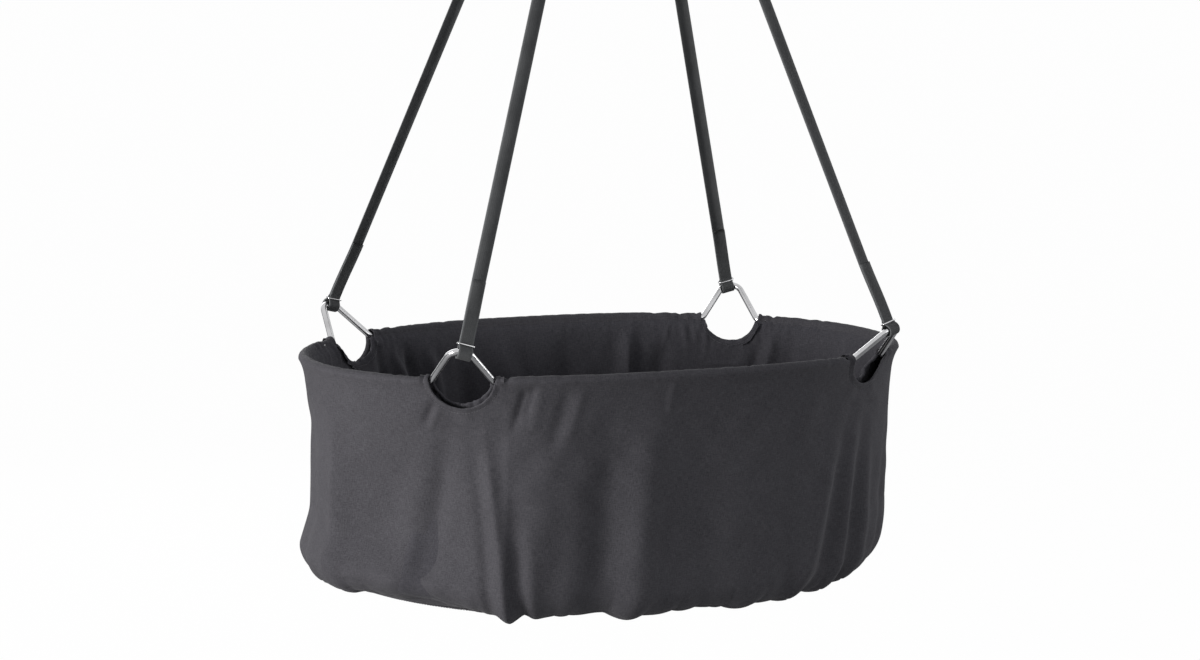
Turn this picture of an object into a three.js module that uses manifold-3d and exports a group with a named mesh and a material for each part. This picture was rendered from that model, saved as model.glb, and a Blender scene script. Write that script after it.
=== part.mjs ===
// Hanging baby cradle: a cloth bag on an oval steel rim, slung by four webbing straps from a swivel
// snap hook. Millimetres, +Z up, +X along the length, -Y the front. The origin is the seat of the
// hook, the point that the whole cradle hangs from.
import * as THREE from 'three';
import { mergeVertices } from 'three/addons/utils/BufferGeometryUtils.js';
import Module from 'manifold-3d';

const wasm = await Module();
wasm.setup();

const degree = Math.PI / 180;
const quarterTurn = Math.PI / 2;
const wholeTurn = Math.PI * 2;
const turnStep = 1e-3; // for slopes along the rim
const halvings = 40; // when a place on the rim is searched for
const tie = 1e-6; // between diagonals that count as equally long

// Clearances
const gap = 0.3; // between pieces that touch
const overrun = 2; // how far a cutter reaches past what it cuts

// Rim: a round rod bent to a squared oval, with four raised peaks that lean outwards
const rimHalfLength = 390;
const rimHalfWidth = 234;
const lengthPower = 2.34;
const widthPower = 2.13;
const rimEndDip = 2; // the loaded rim sinks this much at its ends and rises at its middle
const rodRadius = 4;
const rodSides = 8;
const rimStep = 30; // longest straight facet along the rim

const peakTurn = 48.4 * degree; // where each peak stands on the oval
const peakWidth = 74; // between the feet
const peakTipRise = 56.5; // corner of the two legs, before it is rounded
const peakTipLean = 50.5;
const peakBend = 15.8;
const footBend = 8;
const bendStep = 20 * degree;

// Rim joints: the two halves of the rod meet in a sleeve at the front and at the back
const sleeveWall = 0.8;
const sleeveLength = 64;
const sleeveSides = 12;
const pinRadius = 1.2;
const pinPlace = 18; // from the middle of the sleeve
const pinSides = 10;

// Cloth layers
const clothThickness = 1.5;
const hemThickness = 1.2;
const hemEase = 0.6; // room for the sleeve where the hem curves
const hemSides = 8;

// Bag wall, from the rim down to the seam of the bottom panel
const bagDepth = 293; // down to the flat of the floor
const cornerRadius = 38; // of the rounded bottom edge
const wallInset = 12; // the wall hangs this far inside the hem's face
const footInset = 9; // and this far where its bottom edge starts to round
const seamTurnUnder = 14; // the wall runs on under the bag to its seam
const wallRowShares = [0, 0.15, 0.6, 1];
const wallInsetShares = [0, 0.85, 1, footInset / wallInset];
const cornerRowShares = [0.4, 0.75, 1];
const tipShare = 0.4; // of a fold's height, where the wall turns under the bag
const columnStep = 9.5 * degree; // widest column of the wall between folds
const columnLeast = 2.4 * degree;
const columnStretchShare = 0.2; // of a step that a column may be wider than the widest

// The bag is shallower towards its ends. Each rise has a place along the bag where it starts, and the
// length over which it reaches its height.
const edgeDroop = 3; // the wall's lower edge hangs this far below the flat of the floor
const edgeLeftStart = 60;
const edgeLeftLength = 440;
const edgeLeftRise = 26;
const edgeRightStart = 100;
const edgeRightLength = 280;
const edgeRightRise = 18;
const floorLeftStart = -190;
const floorLeftLength = 130;
const floorLeftRise = 14;
const floorRightStart = 280;
const floorRightLength = 100;
const floorRightRise = 6;
const risePower = 1.4; // how sharply they turn up
const edgeReach = 32; // inside the rod's middle line the edge's height still holds this far
const kneeReach = 55; // half way down to the flat of the floor
const floorReach = 76; // and the floor's height holds from here on

// Main folds of the hanging cloth: place round the bag at the hem, drift on the way down, height,
// half width, and the share of the depth where each one starts. A negative height is a hollow.
const foldHeight = 11;
const foldHollow = 6;
const foldSpread = 3.6 * degree;
const foldWidthShare = 0.75; // of a fold's spread, over which its height dies away
const driftWidthShare = 2;
const folds = [
  { turn: -128 * degree, drift: 7 * degree, height: foldHeight, spread: foldSpread, startShare: 0.12 },
  { turn: -118 * degree, drift: 2 * degree, height: -foldHollow, spread: foldSpread, startShare: 0.3 },
  { turn: -137 * degree, drift: -6 * degree, height: -foldHollow, spread: foldSpread, startShare: 0.25 },
  { turn: -147 * degree, drift: -5 * degree, height: foldHollow, spread: foldSpread, startShare: 0.3 },
  { turn: -106 * degree, drift: 0, height: -foldHollow, spread: foldSpread, startShare: 0.1 },
  { turn: -95 * degree, drift: -1 * degree, height: foldHollow, spread: foldSpread, startShare: 0.05 },
  { turn: -79 * degree, drift: 2 * degree, height: -foldHollow, spread: foldSpread, startShare: 0.4 },
  { turn: -51 * degree, drift: -8 * degree, height: -foldHollow, spread: foldSpread, startShare: 0.2 },
  { turn: -44 * degree, drift: -5 * degree, height: foldHollow, spread: foldSpread, startShare: 0.3 },
  { turn: -28 * degree, drift: 4 * degree, height: -foldHollow, spread: foldSpread, startShare: 0.2 },
  { turn: 8 * degree, drift: 0, height: foldHollow, spread: foldSpread, startShare: 0.2 },
  { turn: 38 * degree, drift: 4 * degree, height: -foldHollow, spread: foldSpread, startShare: 0.2 },
  { turn: 54 * degree, drift: 6 * degree, height: foldHollow, spread: foldSpread, startShare: 0.2 },
  { turn: 76 * degree, drift: 1 * degree, height: -foldHollow, spread: foldSpread, startShare: 0.1 },
  { turn: 101 * degree, drift: -2 * degree, height: foldHollow, spread: foldSpread, startShare: 0.1 },
  { turn: 127 * degree, drift: -6 * degree, height: foldHollow, spread: foldSpread, startShare: 0.2 },
  { turn: 139 * degree, drift: 5 * degree, height: -foldHollow, spread: foldSpread, startShare: 0.2 },
  { turn: 172 * degree, drift: 0, height: -foldHollow, spread: foldSpread, startShare: 0.15 },
  { turn: 190 * degree, drift: 2 * degree, height: foldHollow, spread: foldSpread, startShare: 0.3 },
];

// Cut-outs in the wall under each peak, with a facing strip sewn behind the outer cloth
const cutRadius = 35; // of the lining's holes
const cutDepth = 28; // of the lining's holes, below the rod
const cutMargin = 5; // the outer cloth's holes are this much larger all round
const cutSides = 24;
const facingWidth = 9;
const facingThickness = 1.1;

// Bottom
const boardThickness = 4;
const boardMargin = 2; // from the edge of the flat floor to the edge of the board
const boardLeftEnd = -180; // straight ends, inside the flat of the floor
const boardRightEnd = 260;
const panelMargin = 1; // from the wall's seam to the edge of the bottom panel
const ovalSides = 36;

// Mattress
const mattressRoom = 41; // from the middle of the rim's rod in to the side of the mattress
const mattressHeight = 36;
const mattressEase = 0.4; // room under it for the facets of the floor
const mattressCrown = 9;
const mattressSideDraw = 7; // its sides draw in this much at the top and bottom seams
const mattressCornerRise = 6; // from the seam up to where the crown starts
const coverThickness = 1;
const mattressSideShares = [0, 0.25, 0.6, 1];
const crownShares = [0.25, 0.5, 0.75, 0.92];

// Straps
const strapWidth = 17;
const strapThickness = 1.6;
const strapEase = 0.5; // the webbing stands this much off the curved rod
const strapJoin = 8; // from the middle of the lower loop to where its two layers meet
const strapTail = 88;
const strapTwistStart = 130;
const strapRunPieces = 6;
const barJoin = 30;
const barTail = 75;
const strapBend = 22 * degree;

// Keepers: a wire frame round both layers of each strap
const keeperWire = 1.1; // radius
const keeperRise = 9.5;
const keeperCorner = 2;
const keeperSides = 6;

// Hanger: a triangular link, and a snap hook with a swivel eye
const barAboveRim = 830;
const barOuterPlace = 35; // of the outer two straps, from the middle of the bar
const barInnerPlace = 13;
const linkWire = 4; // radius
const linkHalfBase = 63;
const linkTipHeight = 90;
const linkCorner = 8;
const eyeWire = 4; // radius
const eyeRadius = 14; // to the middle of its wire
const eyeSides = 24;
const stemRadius = 4;
const stemReach = 2; // of bare stem between the eye and the boss
const stemHeadRadius = 7.2;
const stemHeadHeight = 4;
const bossRadius = 9;
const bossHeight = 11;
const hookRod = 4.5; // radius
const hookSeatRadius = 13.5;
const hookHeight = 66; // from the seat to the middle of the boss
const hookCorner = 9;
const hookNoseDrop = 9; // the nose ends this far below the middle of the bend
const hookSides = 12;
const pivotRise = 19; // of the gate's rivet over the middle of the boss
const earThickness = 3.6;
const rivetRadius = 1.6;
const rivetHeadRadius = 3;
const rivetHeadHeight = 1.2;
const gateRadius = 4.2;
const gateTipGap = 0.8;
const plungerRadius = 1.7;
const plungerReach = 5;
const springWall = 0.5;
const springLength = 9;

const edgeRises = [
  { start: edgeLeftStart, length: -edgeLeftLength, height: edgeLeftRise },
  { start: edgeRightStart, length: edgeRightLength, height: edgeRightRise },
];
const floorRises = [
  { start: floorLeftStart, length: -floorLeftLength, height: floorLeftRise },
  { start: floorRightStart, length: floorRightLength, height: floorRightRise },
];
const wholeWidth = 2 * bagDepth + 2 * rimHalfWidth; // more than any plate measures
const mattressHalfLength = rimHalfLength - mattressRoom;
const mattressHalfWidth = rimHalfWidth - mattressRoom;
const rodHole = rodRadius + gap;
const sleeveRadius = rodHole + sleeveWall;
const hemHole = sleeveRadius + gap + hemEase;
const hemRadius = hemHole + hemThickness;
const kneeInset = hemRadius + kneeReach;
const floorInset = hemRadius + floorReach;
const wallTop = Math.sqrt(hemRadius ** 2 - (hemRadius - clothThickness) ** 2) + 2 * gap;
const floorStack = clothThickness + gap + boardThickness + gap; // from the underside to the lining
const linkClear = linkWire + gap + eyeWire;
const linkApex = linkTipHeight - linkClear / Math.sin(Math.atan2(linkHalfBase, linkTipHeight));
const eyeToBoss = 2 * eyeRadius + eyeWire + stemReach + bossHeight / 2;
const rimDrop = hookHeight + eyeToBoss + linkApex + barAboveRim; // from the origin to the rim

const looks = {
  steel: { color: 0x9a9a9c, roughness: 0.32, metalness: 1 },
  darkSteel: { color: 0x6d6e70, roughness: 0.4, metalness: 1 },
  cloth: { color: 0x3d3c40, roughness: 0.95, metalness: 0 },
  lining: { color: 0x343438, roughness: 0.95, metalness: 0 },
  webbing: { color: 0x3a3d40, roughness: 0.85, metalness: 0 },
  board: { color: 0xb79a6c, roughness: 0.7, metalness: 0 },
  foam: { color: 0xe8e2cf, roughness: 0.95, metalness: 0 },
  cover: { color: 0xd9d6ce, roughness: 0.95, metalness: 0 },
};

/** One named piece of the cradle. */
function piece(name, geometry, look) {
  const mesh = new THREE.Mesh(geometry, new THREE.MeshStandardMaterial(looks[look]));
  mesh.name = name;
  return mesh;
}

/** Volume inside a closed mesh, negative where its faces point inwards. */
function signedVolume(geometry) {
  const place = geometry.attributes.position;
  const corner = [new THREE.Vector3(), new THREE.Vector3(), new THREE.Vector3()];
  let volume = 0;
  for (let i = 0; i < geometry.index.count; i += 3) {
    corner.forEach((point, j) => point.fromBufferAttribute(place, geometry.index.getX(i + j)));
    volume += corner[0].dot(corner[1].cross(corner[2])) / 6;
  }
  return volume;
}

/** A mesh from points and triangles, with its faces turned outwards. */
function closedMesh(points, triangles) {
  const geometry = new THREE.BufferGeometry();
  const values = points.flatMap((point) => [point.x, point.y, point.z]);
  geometry.setAttribute('position', new THREE.Float32BufferAttribute(values, 3));
  geometry.setIndex(triangles.flat());
  if (signedVolume(geometry) < 0) {
    geometry.setIndex(triangles.flatMap(([a, b, c]) => [a, c, b]));
  }
  geometry.computeVertexNormals();
  return geometry;
}

/** Two triangles for a four-sided face, split along its shorter diagonal. */
function quad(points, a, b, c, d) {
  const crossed = points[a].distanceTo(points[c]) > points[b].distanceTo(points[d]) + tie;
  return crossed ? [[a, b, d], [b, c, d]] : [[a, b, c], [a, c, d]];
}

/** Triangles that cover a flat ring of points: a fan from the first one. */
function fan(points, start, count) {
  return Array.from({ length: count - 2 }, (_, i) => [start, start + i + 1, start + i + 2]);
}

/** Triangles that cover a ring which may bend along its length: rungs between its two long sides. */
function ladder(points, start, count) {
  const order = Array.from({ length: count }, (_, i) => start + i);
  const along = (i) => points[i].x;
  const next = (i) => start + ((i - start + 1) % count);
  const previous = (i) => start + ((i - start + count - 1) % count);
  const right = order.reduce((best, i) => (along(i) > along(best) ? i : best));
  let ahead = order.reduce((best, i) => (along(i) < along(best) ? i : best));
  let behind = ahead;
  const triangles = [];
  while (next(ahead) !== behind || ahead === behind) {
    const onward = behind === right || (ahead !== right && along(next(ahead)) <= along(previous(behind)));
    const reached = onward ? next(ahead) : previous(behind);
    if (ahead !== behind) {
      triangles.push([behind, ahead, reached]);
    }
    if (onward) {
      ahead = reached;
    } else {
      behind = reached;
    }
  }
  return triangles;
}

/** Skins a row of rings, either round to the first ring again or with a cover on each end. */
function loft(rings, closed = false, cover = fan) {
  const count = rings[0].length;
  const points = rings.flat();
  const triangles = [];
  const bands = closed ? rings.length : rings.length - 1;
  for (let band = 0; band < bands; band++) {
    const low = band * count;
    const high = ((band + 1) % rings.length) * count;
    for (let i = 0; i < count; i++) {
      const next = (i + 1) % count;
      triangles.push(...quad(points, low + i, low + next, high + next, high + i));
    }
  }
  if (!closed) {
    triangles.push(...cover(points, 0, count).map(([a, b, c]) => [a, c, b]));
    triangles.push(...cover(points, (rings.length - 1) * count, count));
  }
  return closedMesh(points, triangles);
}

/** Direction of a path at each of its points. */
function tangents(points, closed) {
  const last = points.length - 1;
  return points.map((point, i) => {
    const before = points[i > 0 ? i - 1 : closed ? last : 0];
    const after = points[i < last ? i + 1 : closed ? 0 : last];
    return after.clone().sub(before).normalize();
  });
}

/** Round rings square to a path. `side` is a direction that the path never follows. */
function circleRings(points, radius, sides, side, closed = false) {
  return tangents(points, closed).map((along, i) => {
    const across = new THREE.Vector3().crossVectors(side, along).normalize();
    const over = new THREE.Vector3().crossVectors(along, across);
    return Array.from({ length: sides }, (_, j) => {
      const turn = ((j + 0.5) / sides) * wholeTurn;
      const out = across.clone().multiplyScalar(radius * Math.cos(turn));
      return out.addScaledVector(over, radius * Math.sin(turn)).add(points[i]);
    });
  });
}

/** A solid round bar along a path. */
function bar(points, radius, sides, side, closed = false) {
  return loft(circleRings(points, radius, sides, side, closed), closed);
}

/** A round tube along a path; its bore holds the full radius between the facets. */
function pipe(points, radius, bore, sides, side) {
  const inside = circleRings(points, bore / Math.cos(Math.PI / sides), sides, side);
  return loft([...circleRings(points, radius, sides, side), ...inside.reverse()], true);
}

/** Rounds the corners of a path: each corner is a point with the radius of its bend. */
function roundedPath(corners, closed = false) {
  const last = corners.length - 1;
  return corners.flatMap(({ point, bend }, i) => {
    if (!bend || (!closed && (i === 0 || i === last))) {
      return [point];
    }
    const before = corners[i > 0 ? i - 1 : last].point;
    const after = corners[i < last ? i + 1 : 0].point;
    const inward = before.clone().sub(point).normalize();
    const outward = after.clone().sub(point).normalize();
    const turned = Math.PI - inward.angleTo(outward);
    const middle = inward.clone().add(outward).normalize();
    const centre = point.clone().addScaledVector(middle, bend / Math.cos(turned / 2));
    const start = point.clone().addScaledVector(inward, bend * Math.tan(turned / 2)).sub(centre);
    const axis = new THREE.Vector3().crossVectors(outward, inward).normalize();
    const pieces = Math.max(2, Math.ceil(turned / bendStep));
    return Array.from({ length: pieces + 1 }, (_, j) =>
      start.clone().applyAxisAngle(axis, (turned * j) / pieces).add(centre));
  });
}

/** The geometry as a solid that can be cut and joined. */
function toSolid(geometry) {
  const plain = geometry.clone();
  plain.deleteAttribute('normal');
  plain.deleteAttribute('uv');
  const merged = mergeVertices(plain);
  return new wasm.Manifold(new wasm.Mesh({
    numProp: 3,
    vertProperties: new Float32Array(merged.attributes.position.array),
    triVerts: new Uint32Array(merged.index.array),
  }));
}

/** A cut or joined solid as geometry again. */
function toGeometry(solid) {
  const mesh = solid.getMesh();
  const geometry = new THREE.BufferGeometry();
  geometry.setAttribute('position', new THREE.BufferAttribute(mesh.vertProperties, 3));
  geometry.setIndex(new THREE.BufferAttribute(mesh.triVerts, 1));
  geometry.computeVertexNormals();
  return geometry;
}

/** A cylinder round a line from a point, along a direction. */
function rodBetween(start, end, radius, sides) {
  const along = end.clone().sub(start);
  const geometry = new THREE.CylinderGeometry(radius, radius, along.length(), sides);
  geometry.applyQuaternion(new THREE.Quaternion().setFromUnitVectors(
    new THREE.Vector3(0, 1, 0), along.clone().normalize()));
  const middle = start.clone().add(end).multiplyScalar(0.5);
  return geometry.translate(middle.x, middle.y, middle.z);
}

const up = new THREE.Vector3(0, 0, 1);

/** Point of a squared oval with the given half sizes. */
function ovalPoint(halfLength, halfWidth, turn, height = 0) {
  const c = Math.cos(turn);
  const s = Math.sin(turn);
  const x = halfLength * Math.sign(c) * Math.abs(c) ** (2 / lengthPower);
  const y = halfWidth * Math.sign(s) * Math.abs(s) ** (2 / widthPower);
  return new THREE.Vector3(x, y, height);
}

/** Height of the rim's dip at a place on the oval. */
function rimHeight(turn) {
  return -rimEndDip * Math.cos(2 * turn);
}

/** Middle of the rod at a place on the oval, peaks left out. */
function rimPoint(turn) {
  return ovalPoint(rimHalfLength, rimHalfWidth, turn, rimHeight(turn));
}

/** Direction along the rim, in the level plane. */
function rimAlong(turn) {
  const along = rimPoint(turn + turnStep).sub(rimPoint(turn - turnStep));
  return along.setZ(0).normalize();
}

/** The place on the oval that lies a straight distance away from another one. */
function turnAway(turn, distance) {
  const start = rimPoint(turn);
  let near = 0;
  let far = quarterTurn * Math.sign(distance);
  for (let i = 0; i < halvings; i++) {
    const middle = (near + far) / 2;
    if (rimPoint(turn + middle).distanceTo(start) < Math.abs(distance)) {
      near = middle;
    } else {
      far = middle;
    }
  }
  return turn + near;
}

/** Points along the rim from one place to another, no further apart than the rim's facets. */
function rimRun(from, to) {
  const length = rimPoint(from).distanceTo(rimPoint((from + to) / 2))
    + rimPoint((from + to) / 2).distanceTo(rimPoint(to));
  const pieces = Math.ceil(length / rimStep);
  return Array.from({ length: pieces + 1 }, (_, i) => rimPoint(from + ((to - from) * i) / pieces));
}

/** A peak of the rod: its middle and feet on the rim, its tip, and the level direction out of it. */
function peakFrame(turn) {
  const middle = rimPoint(turn);
  const out = new THREE.Vector3().crossVectors(rimAlong(turn), up);
  const feet = [-peakWidth / 2, peakWidth / 2].map((distance) => rimPoint(turnAway(turn, distance)));
  const tip = middle.clone().addScaledVector(out, peakTipLean).addScaledVector(up, peakTipRise);
  return { middle, out, feet, tip };
}

/** Corners of one peak of the rod, from foot to foot. */
function peakCorners(turn) {
  const { feet, tip } = peakFrame(turn);
  return [
    { point: feet[0], bend: footBend },
    { point: tip, bend: peakBend },
    { point: feet[1], bend: footBend },
  ];
}

/** One half of the rim, from the middle of the front to the middle of the back. */
function rimRod() {
  const start = turnAway(-quarterTurn, gap / 2);
  const end = turnAway(quarterTurn, -gap / 2);
  const bare = peakWidth / 2 + footBend;
  const plain = (points) => points.map((point) => ({ point, bend: 0 }));
  const corners = [
    ...plain(rimRun(start, turnAway(-peakTurn, -bare))),
    ...peakCorners(-peakTurn),
    ...plain(rimRun(turnAway(-peakTurn, bare), turnAway(peakTurn, -bare))),
    ...peakCorners(peakTurn),
    ...plain(rimRun(turnAway(peakTurn, bare), end)),
  ];
  const holes = [-quarterTurn, quarterTurn].map((turn) => pinHole(turn, 1, pinRadius + gap));
  const rod = toSolid(bar(roundedPath(corners), rodRadius, rodSides, up));
  return toGeometry(holes.reduce((solid, hole) => solid.subtract(hole), rod));
}

/** Middle of a joint pin: in the sleeve at a place on the rim, on one side of the rod's joint. */
function pinMiddle(turn, side) {
  return rimPoint(turnAway(turn, pinPlace * side * Math.sign(-turn)));
}

/** The upright hole that a joint pin goes through. */
function pinHole(turn, side, radius) {
  const middle = pinMiddle(turn, side);
  const reach = new THREE.Vector3(0, 0, sleeveRadius + overrun);
  return toSolid(rodBetween(middle.clone().sub(reach), middle.clone().add(reach), radius, pinSides));
}

/** The sleeve over the joint of the rod at the front or the back. */
function rimSleeve(turn) {
  const ends = [-sleeveLength / 2, 0, sleeveLength / 2];
  const points = ends.map((distance) => rimPoint(distance ? turnAway(turn, distance) : turn));
  const sleeve = toSolid(pipe(points, sleeveRadius, rodHole, sleeveSides, up));
  const holes = [-1, 1].map((side) => pinHole(turn, side, pinRadius + gap));
  return toGeometry(holes.reduce((solid, hole) => solid.subtract(hole), sleeve));
}

/** A pin through the sleeve and the end of the rod, flush with the sleeve. */
function jointPin(turn, side) {
  const middle = pinMiddle(turn, side);
  const reach = new THREE.Vector3(0, 0, sleeveRadius - gap);
  return rodBetween(middle.clone().sub(reach), middle.clone().add(reach), pinRadius, pinSides);
}

/** The hem that the rod runs through, between two cut-outs; it has a facet for each of the wall's. */
function hemCasing(fromPeak, toPeak) {
  const bare = peakWidth / 2 + footBend * Math.tan(quarterTurn / 2) + gap;
  const from = turnAway(fromPeak, bare);
  const to = turnAway(toPeak, -bare);
  const between = columnTurns().map((turn) => from + positiveTurn(turn - from));
  const inside = between.filter((turn) => turn < to).sort((a, b) => a - b);
  const points = [from, ...inside, to].map((turn) => rimPoint(turn));
  return pipe(points, hemRadius, hemHole, hemSides, up);
}

/** An angle brought between nothing and a whole turn. */
function positiveTurn(turn) {
  return ((turn % wholeTurn) + wholeTurn) % wholeTurn;
}

/** Places of the wall's columns: one on each fold and each flank, and more where those leave room. */
function columnTurns() {
  const own = folds.flatMap(({ turn, spread }) => [turn - spread, turn, turn + spread]);
  own.sort((a, b) => a - b);
  const kept = own.filter((turn, i) => i === 0 || turn - own[i - 1] > columnLeast);
  return kept.flatMap((turn, i) => {
    const next = i + 1 < kept.length ? kept[i + 1] : kept[0] + wholeTurn;
    const pieces = Math.max(1, Math.ceil((next - turn) / columnStep - columnStretchShare));
    return Array.from({ length: pieces }, (_, j) => turn + ((next - turn) * j) / pieces);
  });
}

/** Angle between two places, the short way round. */
function turnBetween(a, b) {
  return Math.atan2(Math.sin(a - b), Math.cos(a - b));
}

/** How far a column has drifted sideways at a share of the depth. */
function columnDrift(turn, depthShare) {
  return folds.reduce((sum, fold) => {
    const away = turnBetween(turn, fold.turn) / (driftWidthShare * fold.spread);
    return sum + fold.drift * depthShare * Math.exp(-away * away);
  }, 0);
}

/** How far the folds push the wall out at a column and a share of the depth. */
function foldOut(turn, depthShare) {
  return folds.reduce((sum, fold) => {
    const away = turnBetween(turn, fold.turn) / (foldWidthShare * fold.spread);
    const grown = THREE.MathUtils.smoothstep(depthShare, fold.startShare, 1);
    return sum + fold.height * grown * Math.exp(-away * away);
  }, 0);
}

/** Rows of a bag layer from its top edge to the flat: drop, inset and lean of the surface. */
function wallRows(depth, corner) {
  const straight = depth - corner;
  const wall = wallRowShares.map((share, i) => {
    const drop = THREE.MathUtils.lerp(wallTop, straight, share);
    return { drop, inset: wallInset * wallInsetShares[i], lean: 0, depthShare: share };
  });
  const round = cornerRowShares.map((share) => {
    const lean = share * quarterTurn;
    const inset = footInset + corner * (1 - Math.cos(lean));
    return { drop: straight + corner * Math.sin(lean), inset, lean, depthShare: 1 };
  });
  return [...wall, ...round];
}

/** Height that a list of rises adds at a place along the bag. */
function riseAt(rises, x) {
  return rises.reduce((sum, { start, length, height }) =>
    sum + height * Math.max(0, (x - start) / length) ** risePower, 0);
}

/** How far the bag's bottom lies above the flat of the floor, along the bag and inward of the rod. */
function bottomRise(x, inward) {
  const edge = riseAt(edgeRises, x) - edgeDroop;
  const under = THREE.MathUtils.smoothstep(inward, edgeReach, floorReach);
  return THREE.MathUtils.lerp(edge, riseAt(floorRises, x), under);
}

/** One ring of a bag layer that lies `inward` of the row, with a share of the folds' height. */
function wallRing(columns, row, inward, foldShare = 1) {
  return columns.map((turn) => {
    const push = foldOut(turn, row.depthShare) * foldShare;
    const shift = (row.lean < quarterTurn ? push : Math.max(push, 0)) - inward;
    const reach = hemRadius - row.inset + shift * Math.cos(row.lean);
    const place = turn + columnDrift(turn, row.depthShare);
    const drop = row.drop + shift * Math.sin(row.lean);
    const point = ovalPoint(rimHalfLength + reach, rimHalfWidth + reach, place, -drop);
    const rise = THREE.MathUtils.lerp(rimHeight(place), bottomRise(point.x, -reach), row.depthShare);
    return point.setZ(point.z + rise);
  });
}

/** A closed layer of the outer wall, between two depths behind its face. */
function wallLayer(outer, inner) {
  const columns = columnTurns();
  const rows = wallRows(bagDepth, cornerRadius);
  const seam = { ...rows.at(-1), inset: footInset + cornerRadius + seamTurnUnder };
  const face = (inward) => [
    ...rows.map((row) => wallRing(columns, row, inward, row.lean < quarterTurn ? 1 : tipShare)),
    wallRing(columns, seam, inward, 0),
  ];
  return toSolid(loft([...face(outer), ...face(inner).reverse()], true));
}

/** The inner cloth: a wall inside the outer one and a floor over the base board, in one piece. */
function liningLayer() {
  const columns = columnTurns();
  const wall = wallRows(bagDepth - floorStack, cornerRadius - floorStack).map((row) => {
    const apart = THREE.MathUtils.lerp(2 * hemRadius - clothThickness, floorStack, row.depthShare);
    return { ...row, inset: row.inset + apart };
  });
  const rows = [...wall, ...[kneeInset, floorInset].map((inset) => ({ ...wall.at(-1), inset }))];
  const face = (inward) => rows.map((row) =>
    wallRing(columns, row, inward, row.lean < quarterTurn ? 1 : 0));
  return toSolid(loft([...face(0).reverse(), ...face(clothThickness)], false, ladder));
}

/** A level cylinder through the wall under a peak. */
function cutter(turn, radius) {
  const { middle, out } = peakFrame(turn);
  const centre = middle.clone().setZ(cutRadius - cutDepth);
  const reach = out.clone().multiplyScalar(cutRadius);
  return toSolid(rodBetween(centre.clone().sub(reach), centre.clone().add(reach), radius, cutSides));
}

const peakTurns = {
  front_left: -Math.PI + peakTurn,
  front_right: -peakTurn,
  back_right: peakTurn,
  back_left: Math.PI - peakTurn,
};

/** Cuts the four half-round openings out of a layer. */
function withCutOuts(layer, radius) {
  return Object.values(peakTurns).reduce((solid, turn) => solid.subtract(cutter(turn, radius)), layer);
}

/** Strip behind the outer cloth, round a cut-out. It ends under the hems. */
function facing(turn) {
  const face = clothThickness + gap;
  const hole = cutRadius + cutMargin;
  const band = cutter(turn, hole + facingWidth).subtract(cutter(turn, hole));
  const strip = wallLayer(face, face + facingThickness).intersect(band);
  return toGeometry(strip.trimByPlane([0, 0, -1], hemRadius + 2 * gap));
}

/** A ring under the bag's floor. */
function floorRing(inset, drop) {
  return wallRing(columnTurns(), { drop, inset, lean: quarterTurn, depthShare: 1 }, 0, 0);
}

/** The bottom panel, from the wall's seam inwards. */
function bottomPanel() {
  const seam = footInset + cornerRadius + seamTurnUnder + panelMargin;
  const face = (drop) => [floorRing(floorInset, drop), floorRing(seam, drop)];
  const low = face(bagDepth);
  return loft([...low, ...face(bagDepth - clothThickness).reverse()], false, ladder);
}

/** The board on the flat of the floor: a plate with straight ends. */
function baseBoard() {
  const low = bagDepth - clothThickness - gap;
  const room = new THREE.BoxGeometry(boardRightEnd - boardLeftEnd, wholeWidth, wholeWidth);
  room.translate((boardLeftEnd + boardRightEnd) / 2, 0, 0);
  const rings = [low, low - boardThickness].map((drop) => floorRing(floorInset + boardMargin, drop));
  const plate = toSolid(loft(rings, false, ladder));
  return toGeometry(plate.intersect(toSolid(room)));
}

/** Cloth, lining, facings, hems and board of the bag. */
function bag() {
  const group = new THREE.Group();
  const turns = Object.entries(peakTurns);
  const shell = withCutOuts(wallLayer(0, clothThickness), cutRadius + cutMargin);
  group.add(piece('outer_wall', toGeometry(shell), 'cloth'));
  group.add(piece('lining', toGeometry(withCutOuts(liningLayer(), cutRadius)), 'lining'));
  for (const [name, turn] of turns) {
    group.add(piece(`cutout_facing_${name}`, facing(turn), 'cloth'));
  }
  const hems = [
    ['hem_front', -Math.PI + peakTurn, -peakTurn],
    ['hem_right', -peakTurn, peakTurn],
    ['hem_back', peakTurn, Math.PI - peakTurn],
    ['hem_left', Math.PI - peakTurn, Math.PI + peakTurn],
  ];
  for (const [name, from, to] of hems) {
    group.add(piece(name, hemCasing(from, to), 'cloth'));
  }
  group.add(piece('bottom_panel', bottomPanel(), 'cloth'));
  group.add(piece('base_board', baseBoard(), 'board'));
  return group;
}

/** Rim rods, sleeves and pins. */
function rim() {
  const group = new THREE.Group();
  const right = piece('rim_rod_right', rimRod(), 'steel');
  const left = piece('rim_rod_left', rimRod(), 'steel');
  left.rotation.z = Math.PI;
  group.add(right, left);
  for (const [place, turn] of [['front', -quarterTurn], ['back', quarterTurn]]) {
    group.add(piece(`rim_sleeve_${place}`, rimSleeve(turn), 'darkSteel'));
    group.add(piece(`joint_pin_${place}_right`, jointPin(turn, 1), 'darkSteel'));
    group.add(piece(`joint_pin_${place}_left`, jointPin(turn, -1), 'darkSteel'));
  }
  return group;
}

/** Ring of the mattress at a height over its lower seam; its underside follows the floor. */
function mattressRing(inset, height) {
  const squeezed = 1 - Math.min(height / mattressHeight, 1);
  return Array.from({ length: ovalSides }, (_, i) => {
    const turn = (i / ovalSides) * wholeTurn;
    const point = ovalPoint(mattressHalfLength - inset, mattressHalfWidth - inset, turn, height);
    return point.setZ(height + bottomRise(point.x, mattressRoom + inset) * squeezed);
  });
}

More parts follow.
